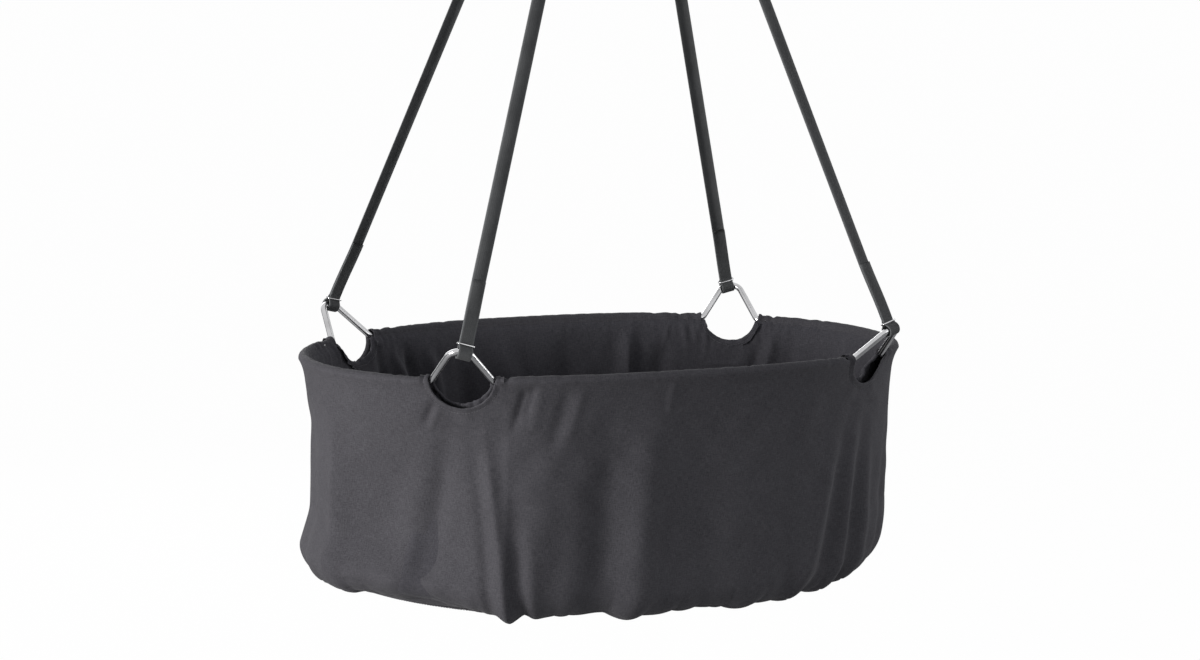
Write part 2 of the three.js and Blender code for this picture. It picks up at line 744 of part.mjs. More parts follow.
/** Rings of a mattress surface that lies a depth inside the cover: sides that draw in, and a crown. */
function mattressRings(depth) {
  const low = depth;
  const high = mattressHeight - depth;
  const side = mattressSideShares.map((share) => {
    const draw = mattressSideDraw * (1 - Math.sin(Math.PI * share));
    return mattressRing(depth + draw, THREE.MathUtils.lerp(low, high, share));
  });
  const crown = crownShares.map((share) => {
    const inset = mattressSideDraw + share * (mattressHalfWidth - mattressSideDraw);
    const rise = mattressCornerRise + (mattressCrown - mattressCornerRise) * Math.sin(share * quarterTurn);
    return mattressRing(depth + inset, high + rise);
  });
  return [...side, ...crown];
}

/** Foam core, the cover over it and the cover's underside. */
function mattress() {
  const group = new THREE.Group();
  group.position.z = -bagDepth + floorStack + clothThickness + gap + mattressEase;
  const inner = coverThickness + gap;
  const cover = loft([...mattressRings(0).reverse(), ...mattressRings(coverThickness)]);
  const flatInset = floorReach - mattressRoom;
  const baseInsets = [flatInset, mattressSideDraw + inner];
  const base = (height) => baseInsets.map((inset) => mattressRing(inset, height));
  const core = [mattressRing(flatInset, inner), ...mattressRings(inner)];
  group.add(piece('mattress_cover', cover, 'cover'));
  group.add(piece('mattress_core', loft(core, false, ladder), 'foam'));
  const underside = loft([...base(0), ...base(coverThickness).reverse()], false, ladder);
  group.add(piece('mattress_underside', underside, 'cover'));
  return group;
}

/** The middle of the bar's strap loops, a place along the bar. */
function barPoint(place) {
  return new THREE.Vector3(place, 0, barAboveRim);
}

/** Where a strap holds its peak: the middle of its loop, and its directions along, across and through. */
function strapSeat(turn, place) {
  const { middle, feet, tip } = peakFrame(turn);
  const legs = feet.map((foot) => foot.clone().sub(tip).normalize());
  const rise = legs[0].clone().add(legs[1]).normalize().negate();
  const bendMiddle = tip.clone().addScaledVector(rise, -peakBend / Math.sin(legs[0].angleTo(legs[1]) / 2));
  const inward = legs[1].clone().sub(legs[0]).normalize();
  inward.multiplyScalar(-Math.sign(inward.x * middle.x));
  const chord = Math.sqrt(peakBend ** 2 - (strapWidth / 2) ** 2);
  const sag = peakBend - chord;
  const edgeRadius = (rodRadius * peakBend) / chord;
  const bore = (rodRadius + sag + edgeRadius) / 2 + gap + strapEase;
  const sink = (sag + edgeRadius - rodRadius) / 2;
  const top = barPoint(place);
  const pull = top.clone().sub(bendMiddle);
  const slip = Math.atan2(pull.dot(inward), pull.dot(rise));
  const out = rise.clone().multiplyScalar(Math.cos(slip)).addScaledVector(inward, Math.sin(slip));
  const loop = bendMiddle.addScaledVector(out, peakBend - sink);
  const across = inward.multiplyScalar(Math.cos(slip)).addScaledVector(rise, -Math.sin(slip));
  const upward = top.clone().sub(loop);
  const length = upward.length();
  upward.normalize();
  across.addScaledVector(upward, -across.dot(upward)).normalize();
  if (across.x < 0) {
    across.negate();
  }
  return { loop, top, upward, across, length, bore };
}

/** Points of an arc in the strap's own section: (through, along) pairs round a middle. */
function sectionArc(radius, middle, from, to) {
  const pieces = Math.ceil(Math.abs(to - from) / strapBend);
  return Array.from({ length: pieces + 1 }, (_, i) => {
    const turn = from + ((to - from) * i) / pieces;
    return [radius * Math.cos(turn), middle + radius * Math.sin(turn)];
  });
}

/** A webbing strap: round the peak, up through its keeper to the bar, and round that, with both tails. */
function strap(turn, place) {
  const { loop, upward, across, length, bore } = strapSeat(turn, place);
  const layer = (strapThickness + gap) / 2;
  const radius = bore + strapThickness / 2;
  const touch = Math.atan2(strapJoin, layer) - Math.acos(radius / Math.hypot(strapJoin, layer));
  const barRadius = linkWire + gap + strapThickness / 2;
  const skew = (strapWidth / 2) * Math.tan(Math.asin(Math.abs(upward.x)));
  const run = Array.from({ length: strapRunPieces }, (_, i) => {
    const from = strapTwistStart;
    return [layer, from + ((length - barTail - from) * i) / strapRunPieces];
  });
  const section = [
    [-layer, strapTail],
    [-layer, strapJoin],
    ...sectionArc(radius, 0, Math.PI - touch, wholeTurn + touch),
    [layer, strapJoin],
    ...run,
    [layer, length - barTail],
    [layer, length - barJoin],
    [barRadius, length - skew - gap],
    ...sectionArc(barRadius, length + skew, 0, Math.PI),
    [-barRadius, length - skew - gap],
    [-layer, length - barJoin],
    [-layer, length - barTail],
  ];
  const barAcross = new THREE.Vector3(1, 0, 0);
  barAcross.addScaledVector(upward, -barAcross.dot(upward)).normalize();
  const twist = Math.atan2(
    new THREE.Vector3().crossVectors(across, barAcross).dot(upward), across.dot(barAcross));
  const middles = section.map(([through, along]) => new THREE.Vector2(through, along));
  const rings = middles.map((middle, i) => {
    const before = middles[Math.max(i - 1, 0)];
    const after = middles[Math.min(i + 1, middles.length - 1)];
    const along = after.clone().sub(before).normalize();
    const out = new THREE.Vector2(along.y, -along.x).multiplyScalar(strapThickness / 2);
    const share = THREE.MathUtils.smoothstep(middle.y, strapTwistStart, length - barTail);
    const wide = across.clone().applyAxisAngle(upward, twist * share);
    const through = new THREE.Vector3().crossVectors(upward, wide);
    const corner = (side, face) => loop.clone()
      .addScaledVector(wide, (side * strapWidth) / 2)
      .addScaledVector(through, middle.x + face * out.x)
      .addScaledVector(upward, middle.y + face * out.y);
    return [corner(-1, -1), corner(1, -1), corner(1, 1), corner(-1, 1)];
  });
  return loft(rings);
}

/** The wire keeper that holds the two layers of a strap together just above its peak. */
function keeper(turn, place) {
  const { loop, upward, across } = strapSeat(turn, place);
  const through = new THREE.Vector3().crossVectors(upward, across);
  const halfWidth = strapWidth / 2 + gap + keeperWire;
  const halfDepth = strapThickness + gap / 2 + gap + keeperWire;
  const middle = loop.clone().addScaledVector(upward, keeperRise);
  const corners = [[-1, -1], [1, -1], [1, 1], [-1, 1]].map(([side, face]) => {
    const point = middle.clone().addScaledVector(across, side * halfWidth);
    return { point: point.addScaledVector(through, face * halfDepth), bend: keeperCorner };
  });
  return bar(roundedPath(corners, true), keeperWire, keeperSides, upward, true);
}

const barPlaceOf = {
  front_left: -barInnerPlace,
  front_right: barOuterPlace,
  back_right: barInnerPlace,
  back_left: -barOuterPlace,
};

/** Straps and keepers. */
function straps() {
  const group = new THREE.Group();
  for (const [name, turn] of Object.entries(peakTurns)) {
    group.add(piece(`strap_${name}`, strap(turn, barPlaceOf[name]), 'webbing'));
    group.add(piece(`keeper_${name}`, keeper(turn, barPlaceOf[name]), 'steel'));
  }
  return group;
}

/** Point in the plane of the hook. */
function flat(x, z) {
  return new THREE.Vector3(x, 0, z);
}

const side = new THREE.Vector3(0, 1, 0);

/** The triangular link: its straight bar carries the straps, its tip hangs in the eye. */
function link() {
  const corners = [
    { point: flat(-linkHalfBase, 0), bend: linkCorner },
    { point: flat(linkHalfBase, 0), bend: linkCorner },
    { point: flat(0, linkTipHeight), bend: linkClear },
  ];
  return bar(roundedPath(corners, true), linkWire, rodSides, side, true);
}

/** Eye with its stem and the head that keeps it in the hook's boss; z counts from the boss's middle. */
function swivelEye() {
  const middle = -bossHeight / 2 - stemReach - eyeWire - eyeRadius;
  const ring = Array.from({ length: eyeSides }, (_, i) => {
    const turn = (i / eyeSides) * wholeTurn;
    return new THREE.Vector3(0, eyeRadius * Math.cos(turn), middle + eyeRadius * Math.sin(turn));
  });
  const eye = toSolid(bar(ring, eyeWire, rodSides, new THREE.Vector3(1, 0, 0), true));
  const headLow = bossHeight / 2 + gap;
  const foot = flat(0, middle + eyeRadius);
  const stem = toSolid(rodBetween(foot, flat(0, headLow + overrun), stemRadius, hookSides));
  const headTop = flat(0, headLow + stemHeadHeight);
  const head = toSolid(rodBetween(flat(0, headLow), headTop, stemHeadRadius, hookSides));
  return toGeometry(eye.add(stem).add(head));
}

const hookReach = hookSeatRadius + hookRod; // from the middle line to the middle of each side
const bendHeight = hookHeight - hookSeatRadius; // middle of the top bend over the boss
const noseHeight = bendHeight - hookNoseDrop;

/** The hook: nose, top bend, back, a boss for the swivel and an ear for the gate; z as for the eye. */
function hookBody() {
  const bendPoints = Array.from({ length: hookSides + 1 }, (_, i) => {
    const turn = (i / hookSides) * Math.PI;
    return flat(hookReach * Math.cos(turn), bendHeight + hookReach * Math.sin(turn));
  });
  const pivot = flat(hookReach, pivotRise);
  const corners = [
    ...[flat(hookReach, noseHeight), ...bendPoints].map((point) => ({ point, bend: 0 })),
    { point: flat(-hookReach, 0), bend: hookCorner },
    { point: flat(hookReach, 0), bend: hookCorner },
    { point: flat(hookReach, pivotRise - gateRadius - gap - overrun), bend: 0 },
  ];
  const rod = toSolid(bar(roundedPath(corners), hookRod, hookSides, side));
  const half = bossHeight / 2;
  const boss = toSolid(rodBetween(flat(0, -half), flat(0, half), bossRadius, eyeSides));
  const bore = toSolid(rodBetween(
    flat(0, -half - overrun), flat(0, half + overrun), stemRadius + gap, hookSides));
  const earGap = new THREE.Vector3(0, earThickness / 2, 0);
  const ear = new THREE.BoxGeometry(2 * (gateRadius - gap), earThickness, pivotRise - hookCorner);
  ear.translate(pivot.x, 0, (pivotRise + hookCorner) / 2);
  const earEnds = [pivot.clone().sub(earGap), pivot.clone().add(earGap)];
  const earTip = rodBetween(...earEnds, gateRadius - gap, hookSides);
  const hole = rivetHole(rivetRadius + gap);
  const body = rod.add(boss).add(toSolid(ear)).add(toSolid(earTip));
  return toGeometry(body.subtract(bore).subtract(hole));
}

/** The hole of the gate's rivet, through ear and gate. */
function rivetHole(radius) {
  const reach = new THREE.Vector3(0, hookRod + overrun, 0);
  const pivot = flat(hookReach, pivotRise);
  return toSolid(rodBetween(pivot.clone().sub(reach), pivot.clone().add(reach), radius, hookSides));
}

/** The gate: a bar from the ear to the nose, forked over the ear, with a bore for its spring. */
function gate() {
  const pivot = flat(hookReach, pivotRise);
  const tip = flat(hookReach, noseHeight - gateTipGap);
  const reach = new THREE.Vector3(0, gateRadius, 0);
  const barSolid = toSolid(rodBetween(pivot, tip, gateRadius, hookSides));
  const heelEnds = [pivot.clone().sub(reach), pivot.clone().add(reach)];
  const heel = toSolid(rodBetween(...heelEnds, gateRadius, hookSides));
  const slotSize = 2 * (gateRadius + overrun);
  const slot = new THREE.BoxGeometry(slotSize, earThickness + 2 * gap, slotSize);
  slot.translate(pivot.x, 0, pivot.z + gateRadius + gap - slotSize / 2);
  const bore = toSolid(rodBetween(
    pivot, flat(hookReach, springTop + gap), plungerRadius + gap, hookSides));
  const cut = barSolid.add(heel).subtract(toSolid(slot)).subtract(rivetHole(rivetRadius + gap));
  return toGeometry(cut.subtract(bore));
}

const plungerLow = pivotRise + gateRadius + gap;
const springTop = plungerLow + plungerReach + gap + springLength;

/** Hook with its gate parts and the swivel eye. */
function hanger() {
  const group = new THREE.Group();
  group.position.z = -hookHeight;
  group.add(piece('hook_body', hookBody(), 'steel'));
  group.add(piece('swivel_eye', swivelEye(), 'steel'));
  group.add(piece('hook_gate', gate(), 'steel'));
  const reach = new THREE.Vector3(0, gateRadius + gap + rivetHeadHeight, 0);
  const pivot = flat(hookReach, pivotRise);
  const shankEnds = [pivot.clone().sub(reach), pivot.clone().add(reach)];
  const shank = toSolid(rodBetween(...shankEnds, rivetRadius, hookSides));
  const rivet = [-1, 1].reduce((solid, end) => {
    const face = pivot.clone().setY(end * (gateRadius + gap));
    const headEnd = pivot.clone().setY(end * (gateRadius + gap + rivetHeadHeight));
    return solid.add(toSolid(rodBetween(face, headEnd, rivetHeadRadius, hookSides)));
  }, shank);
  group.add(piece('gate_rivet', toGeometry(rivet), 'darkSteel'));
  group.add(piece('gate_plunger', rodBetween(flat(hookReach, plungerLow),
    flat(hookReach, plungerLow + plungerReach), plungerRadius, hookSides), 'darkSteel'));
  const springPoints = [springTop - springLength, springTop].map((height) => flat(hookReach, height));
  const spring = pipe(springPoints, plungerRadius, plungerRadius - springWall, hookSides, side);
  group.add(piece('gate_spring', spring, 'darkSteel'));
  return group;
}

const triangle = piece('strap_link', link(), 'steel');
triangle.position.z = barAboveRim;

const hung = new THREE.Group();
hung.position.z = -rimDrop;
hung.add(rim(), bag(), mattress(), straps(), triangle);

const cradle = new THREE.Group();
cradle.add(hung, hanger());

export default cradle;
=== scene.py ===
"""Looks of the hanging baby cradle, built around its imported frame.

Metres, +Z up, +X along the length, -Y the front. The frame's origin is the seat of the hook.
"""
import math

import bpy
import numpy as np
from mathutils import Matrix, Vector


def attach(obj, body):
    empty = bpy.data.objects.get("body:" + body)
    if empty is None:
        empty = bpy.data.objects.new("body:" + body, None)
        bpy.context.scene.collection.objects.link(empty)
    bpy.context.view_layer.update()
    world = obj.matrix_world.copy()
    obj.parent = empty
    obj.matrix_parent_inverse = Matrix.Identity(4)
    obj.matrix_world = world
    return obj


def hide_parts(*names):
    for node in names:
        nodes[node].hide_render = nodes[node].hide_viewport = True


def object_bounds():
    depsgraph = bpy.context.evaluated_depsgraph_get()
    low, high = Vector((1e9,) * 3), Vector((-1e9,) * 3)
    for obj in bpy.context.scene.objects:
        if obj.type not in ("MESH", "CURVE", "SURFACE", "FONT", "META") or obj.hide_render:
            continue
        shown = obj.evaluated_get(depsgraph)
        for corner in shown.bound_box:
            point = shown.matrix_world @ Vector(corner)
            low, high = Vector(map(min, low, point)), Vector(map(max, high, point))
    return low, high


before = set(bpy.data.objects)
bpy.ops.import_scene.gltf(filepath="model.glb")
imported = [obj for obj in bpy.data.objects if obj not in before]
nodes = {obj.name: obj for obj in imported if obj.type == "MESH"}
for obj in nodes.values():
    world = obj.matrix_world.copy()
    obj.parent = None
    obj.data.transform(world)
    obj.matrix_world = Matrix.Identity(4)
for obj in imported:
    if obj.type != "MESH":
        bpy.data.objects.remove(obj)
cad_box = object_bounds()

# Rim: a squared oval of round rod, with four peaks
RIM_HALF_LENGTH = 0.390
RIM_HALF_WIDTH = 0.234
LENGTH_POWER = 2.34
WIDTH_POWER = 2.13
RIM_END_DIP = 0.002
ROD_RADIUS = 0.004
PEAK_TURN = math.radians(48.4)
PEAK_WIDTH = 0.074
PEAK_TIP_RISE = 0.0565
PEAK_TIP_LEAN = 0.0505
PEAK_BEND = 0.0158
FOOT_BEND = 0.008

# Link, swivel eye and hook, from the rim up
BAR_ABOVE_RIM = 0.830  # the bar of the link over the rim
LINK_WIRE = 0.004
LINK_HALF_BASE = 0.063
LINK_TIP_HEIGHT = 0.090
LINK_CORNER = 0.008
EYE_WIRE = 0.004
EYE_RADIUS = 0.014
GAP = 0.0003
LINK_CLEAR = LINK_WIRE + GAP + EYE_WIRE  # radius of the link's upper bend
link_apex = LINK_TIP_HEIGHT - LINK_CLEAR / math.sin(math.atan2(LINK_HALF_BASE, LINK_TIP_HEIGHT))
BOSS_HEIGHT = 0.011
BOSS_RADIUS = 0.009
STEM_REACH = 0.002
HOOK_HEIGHT = 0.066
bar_height = -(HOOK_HEIGHT + 2 * EYE_RADIUS + EYE_WIRE + STEM_REACH + BOSS_HEIGHT / 2 + link_apex)
rim_height = bar_height - BAR_ABOVE_RIM

# Bag
HEM_RADIUS = 0.0072
CLOTH = 0.0014
BAG_DEPTH = 0.293  # down to the flat of the floor
EDGE_DROOP = 0.003  # the wall's lower edge hangs this far below the flat of the floor
EDGE_LEFT = (0.06, -0.44, 0.026)  # a rise: where it starts along the bag, its length and its height
EDGE_RIGHT = (0.10, 0.28, 0.018)
FLOOR_LEFT = (-0.19, -0.13, 0.014)
FLOOR_RIGHT = (0.28, 0.10, 0.006)
RISE_POWER = 1.4
EDGE_REACH = 0.032  # inward of the rod's middle line the edge's height still holds this far
FLOOR_REACH = 0.076  # and the floor's height holds from here on
CORNER_RADIUS = 0.038
WALL_INSET = 0.0122  # the wall hangs this far inside the hem's face
NECK_DEPTH = 0.022
FOOT_DROPS = (0.205, 0.268)  # between these drops the wall of the left end comes out again
FOOT_SHARE = 0.62  # by this share of its inset
LEFT_INSET = 0.005  # further in, half way down the left end
LEFT_DROPS = (0.03, 0.09)  # which starts and is full at these drops
SEAT_INSET = 0.006  # further in, at the foot of the right end
SEAT_DROPS = (0.225, 0.29)
SEAM_TURN_UNDER = 0.014
SEAM_LINE = 0.029  # a row of stitches runs this far up the cloth from its lower edge
FLOOR_STACK = 0.0061
CUT_RADIUS = 0.035  # of the lining's holes
CUT_DEPTH = 0.028
CUT_MARGIN = 0.005  # the outer cloth's holes are this much larger all round
STITCH_PLACE = 0.005  # from the edge of a cut-out to its row of stitches
FACING_WIDTH = 0.009
FACING_BACK = 0.0006  # of the strip's edge from the edge of the cut-out
FACING_REACH = math.radians(74)  # of the facing each way from the lowest place of its cut-out
PANEL_MARGIN = 0.001
PANEL_WAVE = 0.0006  # height of the panel's soft waves
PANEL_EDGE = 0.006  # over which the panel starts to sag
PANEL_STITCH_PLACE = 0.004  # from the panel's edge to its row of stitches
LINING_STITCH_LIFT = -0.0026  # from the lining's surface to the stitches on its inner face

# Straps and keepers
PATH_STEP = 0.006  # between the points of rods and straps
STRAP_WIDTH = 0.017
STRAP_THICKNESS = 0.0016
STRAP_EASE = 0.0005
STRAP_JOIN = 0.008
STRAP_TAIL = 0.088
STRAP_TWIST_START = 0.130
STRAP_BOW = 0.0030  # the middle of a strap stands this far out from its edges
STRAP_BOW_START = (0.022, 0.090)  # heights over the peak where the bow starts and is full
STRAP_BOW_END = 0.20  # it fades from this far under the bar
BAR_JOIN = 0.030
BAR_TAIL = 0.075
KEEPER_WIRE = 0.0011
KEEPER_RISE = 0.0095
KEEPER_CORNER = 0.002

# Mattress
MATTRESS_ROOM = 0.041
MATTRESS_HALF_LENGTH = RIM_HALF_LENGTH - MATTRESS_ROOM
MATTRESS_HALF_WIDTH = RIM_HALF_WIDTH - MATTRESS_ROOM
MATTRESS_HEIGHT = 0.036
MATTRESS_CROWN = 0.009
MATTRESS_DRAW = 0.007  # its upper and lower edges lie this far inside the middle of its side
COVER_INSET = 0.002  # of the cover before it is filled
FOAM_INSET = 0.0065  # of the foam core from the outside of the cover
PIPING_SEAT = 0.0012  # the piping's middle line lies this far inside the mattress's edges
PIPING_RADIUS = 0.0022
PIPING_LOWER = 0.0026  # heights of its middle line
PIPING_UPPER = MATTRESS_HEIGHT - 0.0015
UNDERSIDE_SHARES = (0.98, 0.8, 0.6, 0.4, 0.25, 0.14, 0.08)  # of the half width, drawn in, ring by ring
TOP_SHARES = (0.06, 0.14, 0.28, 0.45, 0.62, 0.80, 0.98)
CROWN_POWER = 0.55
mattress_base = rim_height - BAG_DEPTH + FLOOR_STACK + CLOTH + 3 * GAP

# Hook and gate
STEM_RADIUS = 0.004
STEM_FLARE = [(0.0022, -0.001), (0.0012, 0.0032), (0, 0.0055)]  # more radius, at heights over the eye's ring
STEM_HEAD_RADIUS = 0.0072
STEM_HEAD_HEIGHT = 0.004
HOOK_ROD = 0.0045
HOOK_END = 0.84  # the rod's ends are eased to this share of its radius
HOOK_SEAT_RADIUS = 0.0135
HOOK_REACH = HOOK_SEAT_RADIUS + HOOK_ROD
HOOK_CORNER = 0.009
HOOK_NOSE_DROP = 0.009
PIVOT_RISE = 0.019
EAR_THICKNESS = 0.0036
GATE_RADIUS = 0.0042
RIVET_RADIUS = 0.0016
RIVET_HEAD_RADIUS = 0.003
RIVET_HEAD_HEIGHT = 0.0012
PLUNGER_RADIUS = 0.0017
PLUNGER_REACH = 0.005
SPRING_LENGTH = 0.009
SPRING_WIRE = 0.0003
SPRING_COILS = 8
GATE_ROOM = 0.002  # more than the gap, between the rod's lower end and the gate
STEM_END = 0.0005  # the stem runs this far into its head
HEAD_EDGE = 0.0012  # radii of the rounded edges of the stem's head, the boss and the plunger
BOSS_EDGE = 0.0016
PLUNGER_EDGE = 0.0005
RIVET_FLAT = 0.0008  # radius of the flat on the rivet's heads
RIVET_SHOULDER = (0.72, 0.0003)  # where a head's dome turns down: share of its radius, and depth

TURN = 2 * math.pi
QUARTER = math.pi / 2
UP = np.array([0.0, 0.0, 1.0])
BACK = np.array([0.0, 1.0, 0.0])

# Each peak: its place round the rim and its strap's place on the bar of the link
PEAKS = {
    "front_left": (-math.pi + PEAK_TURN, -0.013),
    "front_right": (-PEAK_TURN, 0.035),
    "back_right": (PEAK_TURN, 0.013),
    "back_left": (math.pi - PEAK_TURN, -0.035),
}


# Meshes

def in_scene(name, data):
    """A new object of the scene."""
    obj = bpy.data.objects.new(name, data)
    bpy.context.scene.collection.objects.link(obj)
    return obj


def add_mesh(name, points, faces, material, body, uvs=None):
    """One piece from its points and faces, on a body, with the distance map of its cloth if it has one."""
    mesh = bpy.data.meshes.new(name)
    mesh.from_pydata(np.asarray(points, float).tolist(), [], [list(f) for f in faces])
    mesh.polygons.foreach_set("use_smooth", [True] * len(mesh.polygons))
    if uvs is not None:
        layer = mesh.uv_layers.new(name="cloth")
        corner = np.zeros(len(mesh.loops), np.int64)
        mesh.loops.foreach_get("vertex_index", corner)
        layer.data.foreach_set("uv", np.asarray(uvs, np.float32)[corner].ravel())
    mesh.validate()
    mesh.update()
    mesh.materials.append(material)
    obj = in_scene(name, mesh)
    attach(obj, body)
    return obj


def skin(rings, closed=False):
    """Points and faces of a row of rings, round to the first again or with a fan at each end."""
    rings = np.asarray(rings, float)
    rows, count = rings.shape[:2]
    points = rings.reshape(-1, 3)
    faces = []
    for row in range(rows if closed else rows - 1):
        low, high = row * count, (row + 1) % rows * count
        for i in range(count):
            j = (i + 1) % count
            faces.append((low + i, low + j, high + j, high + i))
    if not closed:
        middles = [rings[0].mean(0), rings[-1].mean(0)]
        points = np.vstack([points, middles])
        first, last = len(points) - 2, len(points) - 1
        end = (rows - 1) * count
        for i in range(count):
            j = (i + 1) % count
            faces.append((first, j, i))
            faces.append((last, end + i, end + j))
    return points, faces


def unit(v):
    """Vectors of length one."""
    v = np.asarray(v, float)
    return v / np.linalg.norm(v, axis=-1, keepdims=True)


def even_turns(count):
    """Angles spaced evenly round a circle."""
    return np.arange(count) / count * TURN


def run_along(path):
    """Distance along a path at each of its points."""
    return np.concatenate([[0], np.cumsum(np.linalg.norm(np.diff(path, axis=0), axis=1))])


def directions(path, closed=False):
    """Direction of a path at each of its points."""
    path = np.asarray(path, float)
    if closed:
        return unit(np.roll(path, -1, 0) - np.roll(path, 1, 0))
    padded = np.vstack([path[:1], path, path[-1:]])
    return unit(padded[2:] - padded[:-2])


def tube_rings(path, radius, sides, side, closed=False):
    """Round rings square to a path; `side` is a direction that the path never follows."""
    path = np.asarray(path, float)
    along = directions(path, closed)
    across = unit(np.cross(side, along))
    over = np.cross(along, across)
    turn = even_turns(sides)[:, None]
    radius = np.broadcast_to(np.asarray(radius, float), (len(path),))[:, None, None]
    circle = np.cos(turn) * across[:, None] + np.sin(turn) * over[:, None]
    return path[:, None] + circle * radius


def closed_tube(path, radius, sides, side):
    """Points and faces of a round wire that runs back into itself."""
    return skin(tube_rings(path, radius, sides, side, closed=True), closed=True)


def rounded_path(corners, step=math.radians(6), closed=False):
    """Rounds the corners of a path: each one is a point with the radius of its bend."""
    points = []
    last = len(corners) - 1
    for i, (point, bend) in enumerate(corners):
        point = np.asarray(point, float)
        if not bend or (not closed and i in (0, last)):
            points.append(point)
            continue
        before = np.asarray(corners[i - 1][0], float)
        after = np.asarray(corners[(i + 1) % len(corners)][0], float)
        inward, outward = unit(before - point), unit(after - point)
        turned = math.pi - math.acos(float(np.clip(inward @ outward, -1, 1)))
        middle = unit(inward + outward)
        centre = point + middle * bend / math.cos(turned / 2)
        start = point + inward * bend * math.tan(turned / 2) - centre
        sideways = unit(np.cross(np.cross(outward, inward), start))
        pieces = max(3, math.ceil(turned / step))
        for j in range(pieces + 1):
            angle = turned * j / pieces
            points.append(centre + start * math.cos(angle) + sideways * bend * math.sin(angle))
    return np.array(points)


# Rim and peaks

def oval(half_length, half_width, turn):
    """Points of a squared oval, level."""
    c, s = np.cos(turn), np.sin(turn)
    x = half_length * np.sign(c) * np.abs(c) ** (2 / LENGTH_POWER)
    y = half_width * np.sign(s) * np.abs(s) ** (2 / WIDTH_POWER)
    return np.stack([x, y], -1)


def rim_dip(turn):
    """Height of the loaded rim over its mean plane."""
    return -RIM_END_DIP * np.cos(2 * np.asarray(turn))


def rim_point(turn):
    """Middle of the rod at a place on the oval, peaks left out."""
    level = oval(RIM_HALF_LENGTH, RIM_HALF_WIDTH, turn)
    return np.concatenate([level, (rim_height + rim_dip(turn))[..., None]], -1)


TABLE = np.linspace(-math.pi, math.pi, 14401)
TABLE_POINTS = oval(RIM_HALF_LENGTH, RIM_HALF_WIDTH, TABLE)
TABLE_RUN = run_along(TABLE_POINTS)
PERIMETER = TABLE_RUN[-1]


def run_of(turn):
    """Distance along the rim from its left end, forward round the front."""
    turn = (np.asarray(turn, float) + math.pi) % TURN - math.pi
    return np.interp(turn, TABLE, TABLE_RUN)


def turn_of(run):
    """Place on the oval at a distance along the rim."""
    return np.interp(np.asarray(run, float) % PERIMETER, TABLE_RUN, TABLE)


def straight_away(turn, distance):
    """The place on the oval that lies a straight distance away from another one."""
    start = rim_point(np.array(turn))
    near, far = 0.0, QUARTER * math.copysign(1, distance)
    for _ in range(40):
        middle = (near + far) / 2
        if np.linalg.norm(rim_point(np.array(turn + middle)) - start) < abs(distance):
            near = middle
        else:
            far = middle
    return turn + near


def peak_frame(turn):
    """Middle and feet of a peak on the rim, its tip, and its level directions out and along."""
    middle = rim_point(np.array(turn))
    step = 1e-3
    along = rim_point(np.array(turn + step)) - rim_point(np.array(turn - step))
    along[2] = 0
    along = unit(along)
    out = np.cross(along, UP)
    feet = [rim_point(np.array(straight_away(turn, s * PEAK_WIDTH / 2))) for s in (-1, 1)]
    tip = middle + out * PEAK_TIP_LEAN + UP * PEAK_TIP_RISE
    return middle, out, along, feet, tip


def rim_half(side, material):
    """One half of the rod, from the front joint to the back joint. Side 1 is the right half."""
    joint = GAP / 2
    bare = PEAK_WIDTH / 2 + FOOT_BEND
    start, end = straight_away(-QUARTER, joint), straight_away(QUARTER, -joint)

    def plain(a, b):
        count = max(2, math.ceil(abs(run_of(b) - run_of(a)) / PATH_STEP))
        runs = np.linspace(run_of(a), run_of(b), count + 1)
        return [(p, 0) for p in rim_point(turn_of(runs))]

    def peak(turn):
        _, _, _, feet, tip = peak_frame(turn)
        return [(feet[0], FOOT_BEND), (tip, PEAK_BEND), (feet[1], FOOT_BEND)]

    corners = [
        *plain(start, straight_away(-PEAK_TURN, -bare)), *peak(-PEAK_TURN),
        *plain(straight_away(-PEAK_TURN, bare), straight_away(PEAK_TURN, -bare)), *peak(PEAK_TURN),
        *plain(straight_away(PEAK_TURN, bare), end),
    ]
    path = rounded_path(corners)
    if side < 0:
        path = path * [-1, -1, 1]
    name = "rim_rod_right" if side > 0 else "rim_rod_left"
    points, faces = skin(tube_rings(path, ROD_RADIUS, 24, UP))
    obj = add_mesh(f"{name}_round", points, faces, material, "cradle")
    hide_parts(name)


# Straps

def strap_seat(turn, place):
    """Where a strap holds its peak: loop, top, directions up and across, length and bore."""
    middle, _, _, feet, tip = peak_frame(turn)
    legs = [unit(foot - tip) for foot in feet]
    rise = -unit(legs[0] + legs[1])
    half = math.acos(float(np.clip(legs[0] @ legs[1], -1, 1))) / 2
    bend_middle = tip - rise * PEAK_BEND / math.sin(half)
    inward = unit(legs[1] - legs[0])
    inward = inward * -math.copysign(1, inward[0] * middle[0])
    chord = math.sqrt(PEAK_BEND ** 2 - (STRAP_WIDTH / 2) ** 2)
    sag = PEAK_BEND - chord
    edge = ROD_RADIUS * PEAK_BEND / chord
    bore = (ROD_RADIUS + sag + edge) / 2 + GAP + STRAP_EASE
    sink = (sag + edge - ROD_RADIUS) / 2
    top = np.array([place, 0, bar_height])
    pull = top - bend_middle
    slip = math.atan2(pull @ inward, pull @ rise)
    out = rise * math.cos(slip) + inward * math.sin(slip)
    loop = bend_middle + out * (PEAK_BEND - sink)
    across = inward * math.cos(slip) - rise * math.sin(slip)
    upward = top - loop
    length = float(np.linalg.norm(upward))
    upward = upward / length
    across = unit(across - upward * (across @ upward))
    if across[0] < 0:
        across = -across
    return loop, upward, across, length, bore


def turned(vector, axis, angle):
    """A vector turned round an axis square to it."""
    return vector * math.cos(angle) + np.cross(axis, vector) * math.sin(angle)


def section_arc(radius, middle, start, end, step=math.radians(7)):
    """Points of an arc in the strap's side view: (through, along)."""
    pieces = math.ceil(abs(end - start) / step)
    angles = np.linspace(start, end, pieces + 1)
    return [(radius * math.cos(a), middle + radius * math.sin(a)) for a in angles]


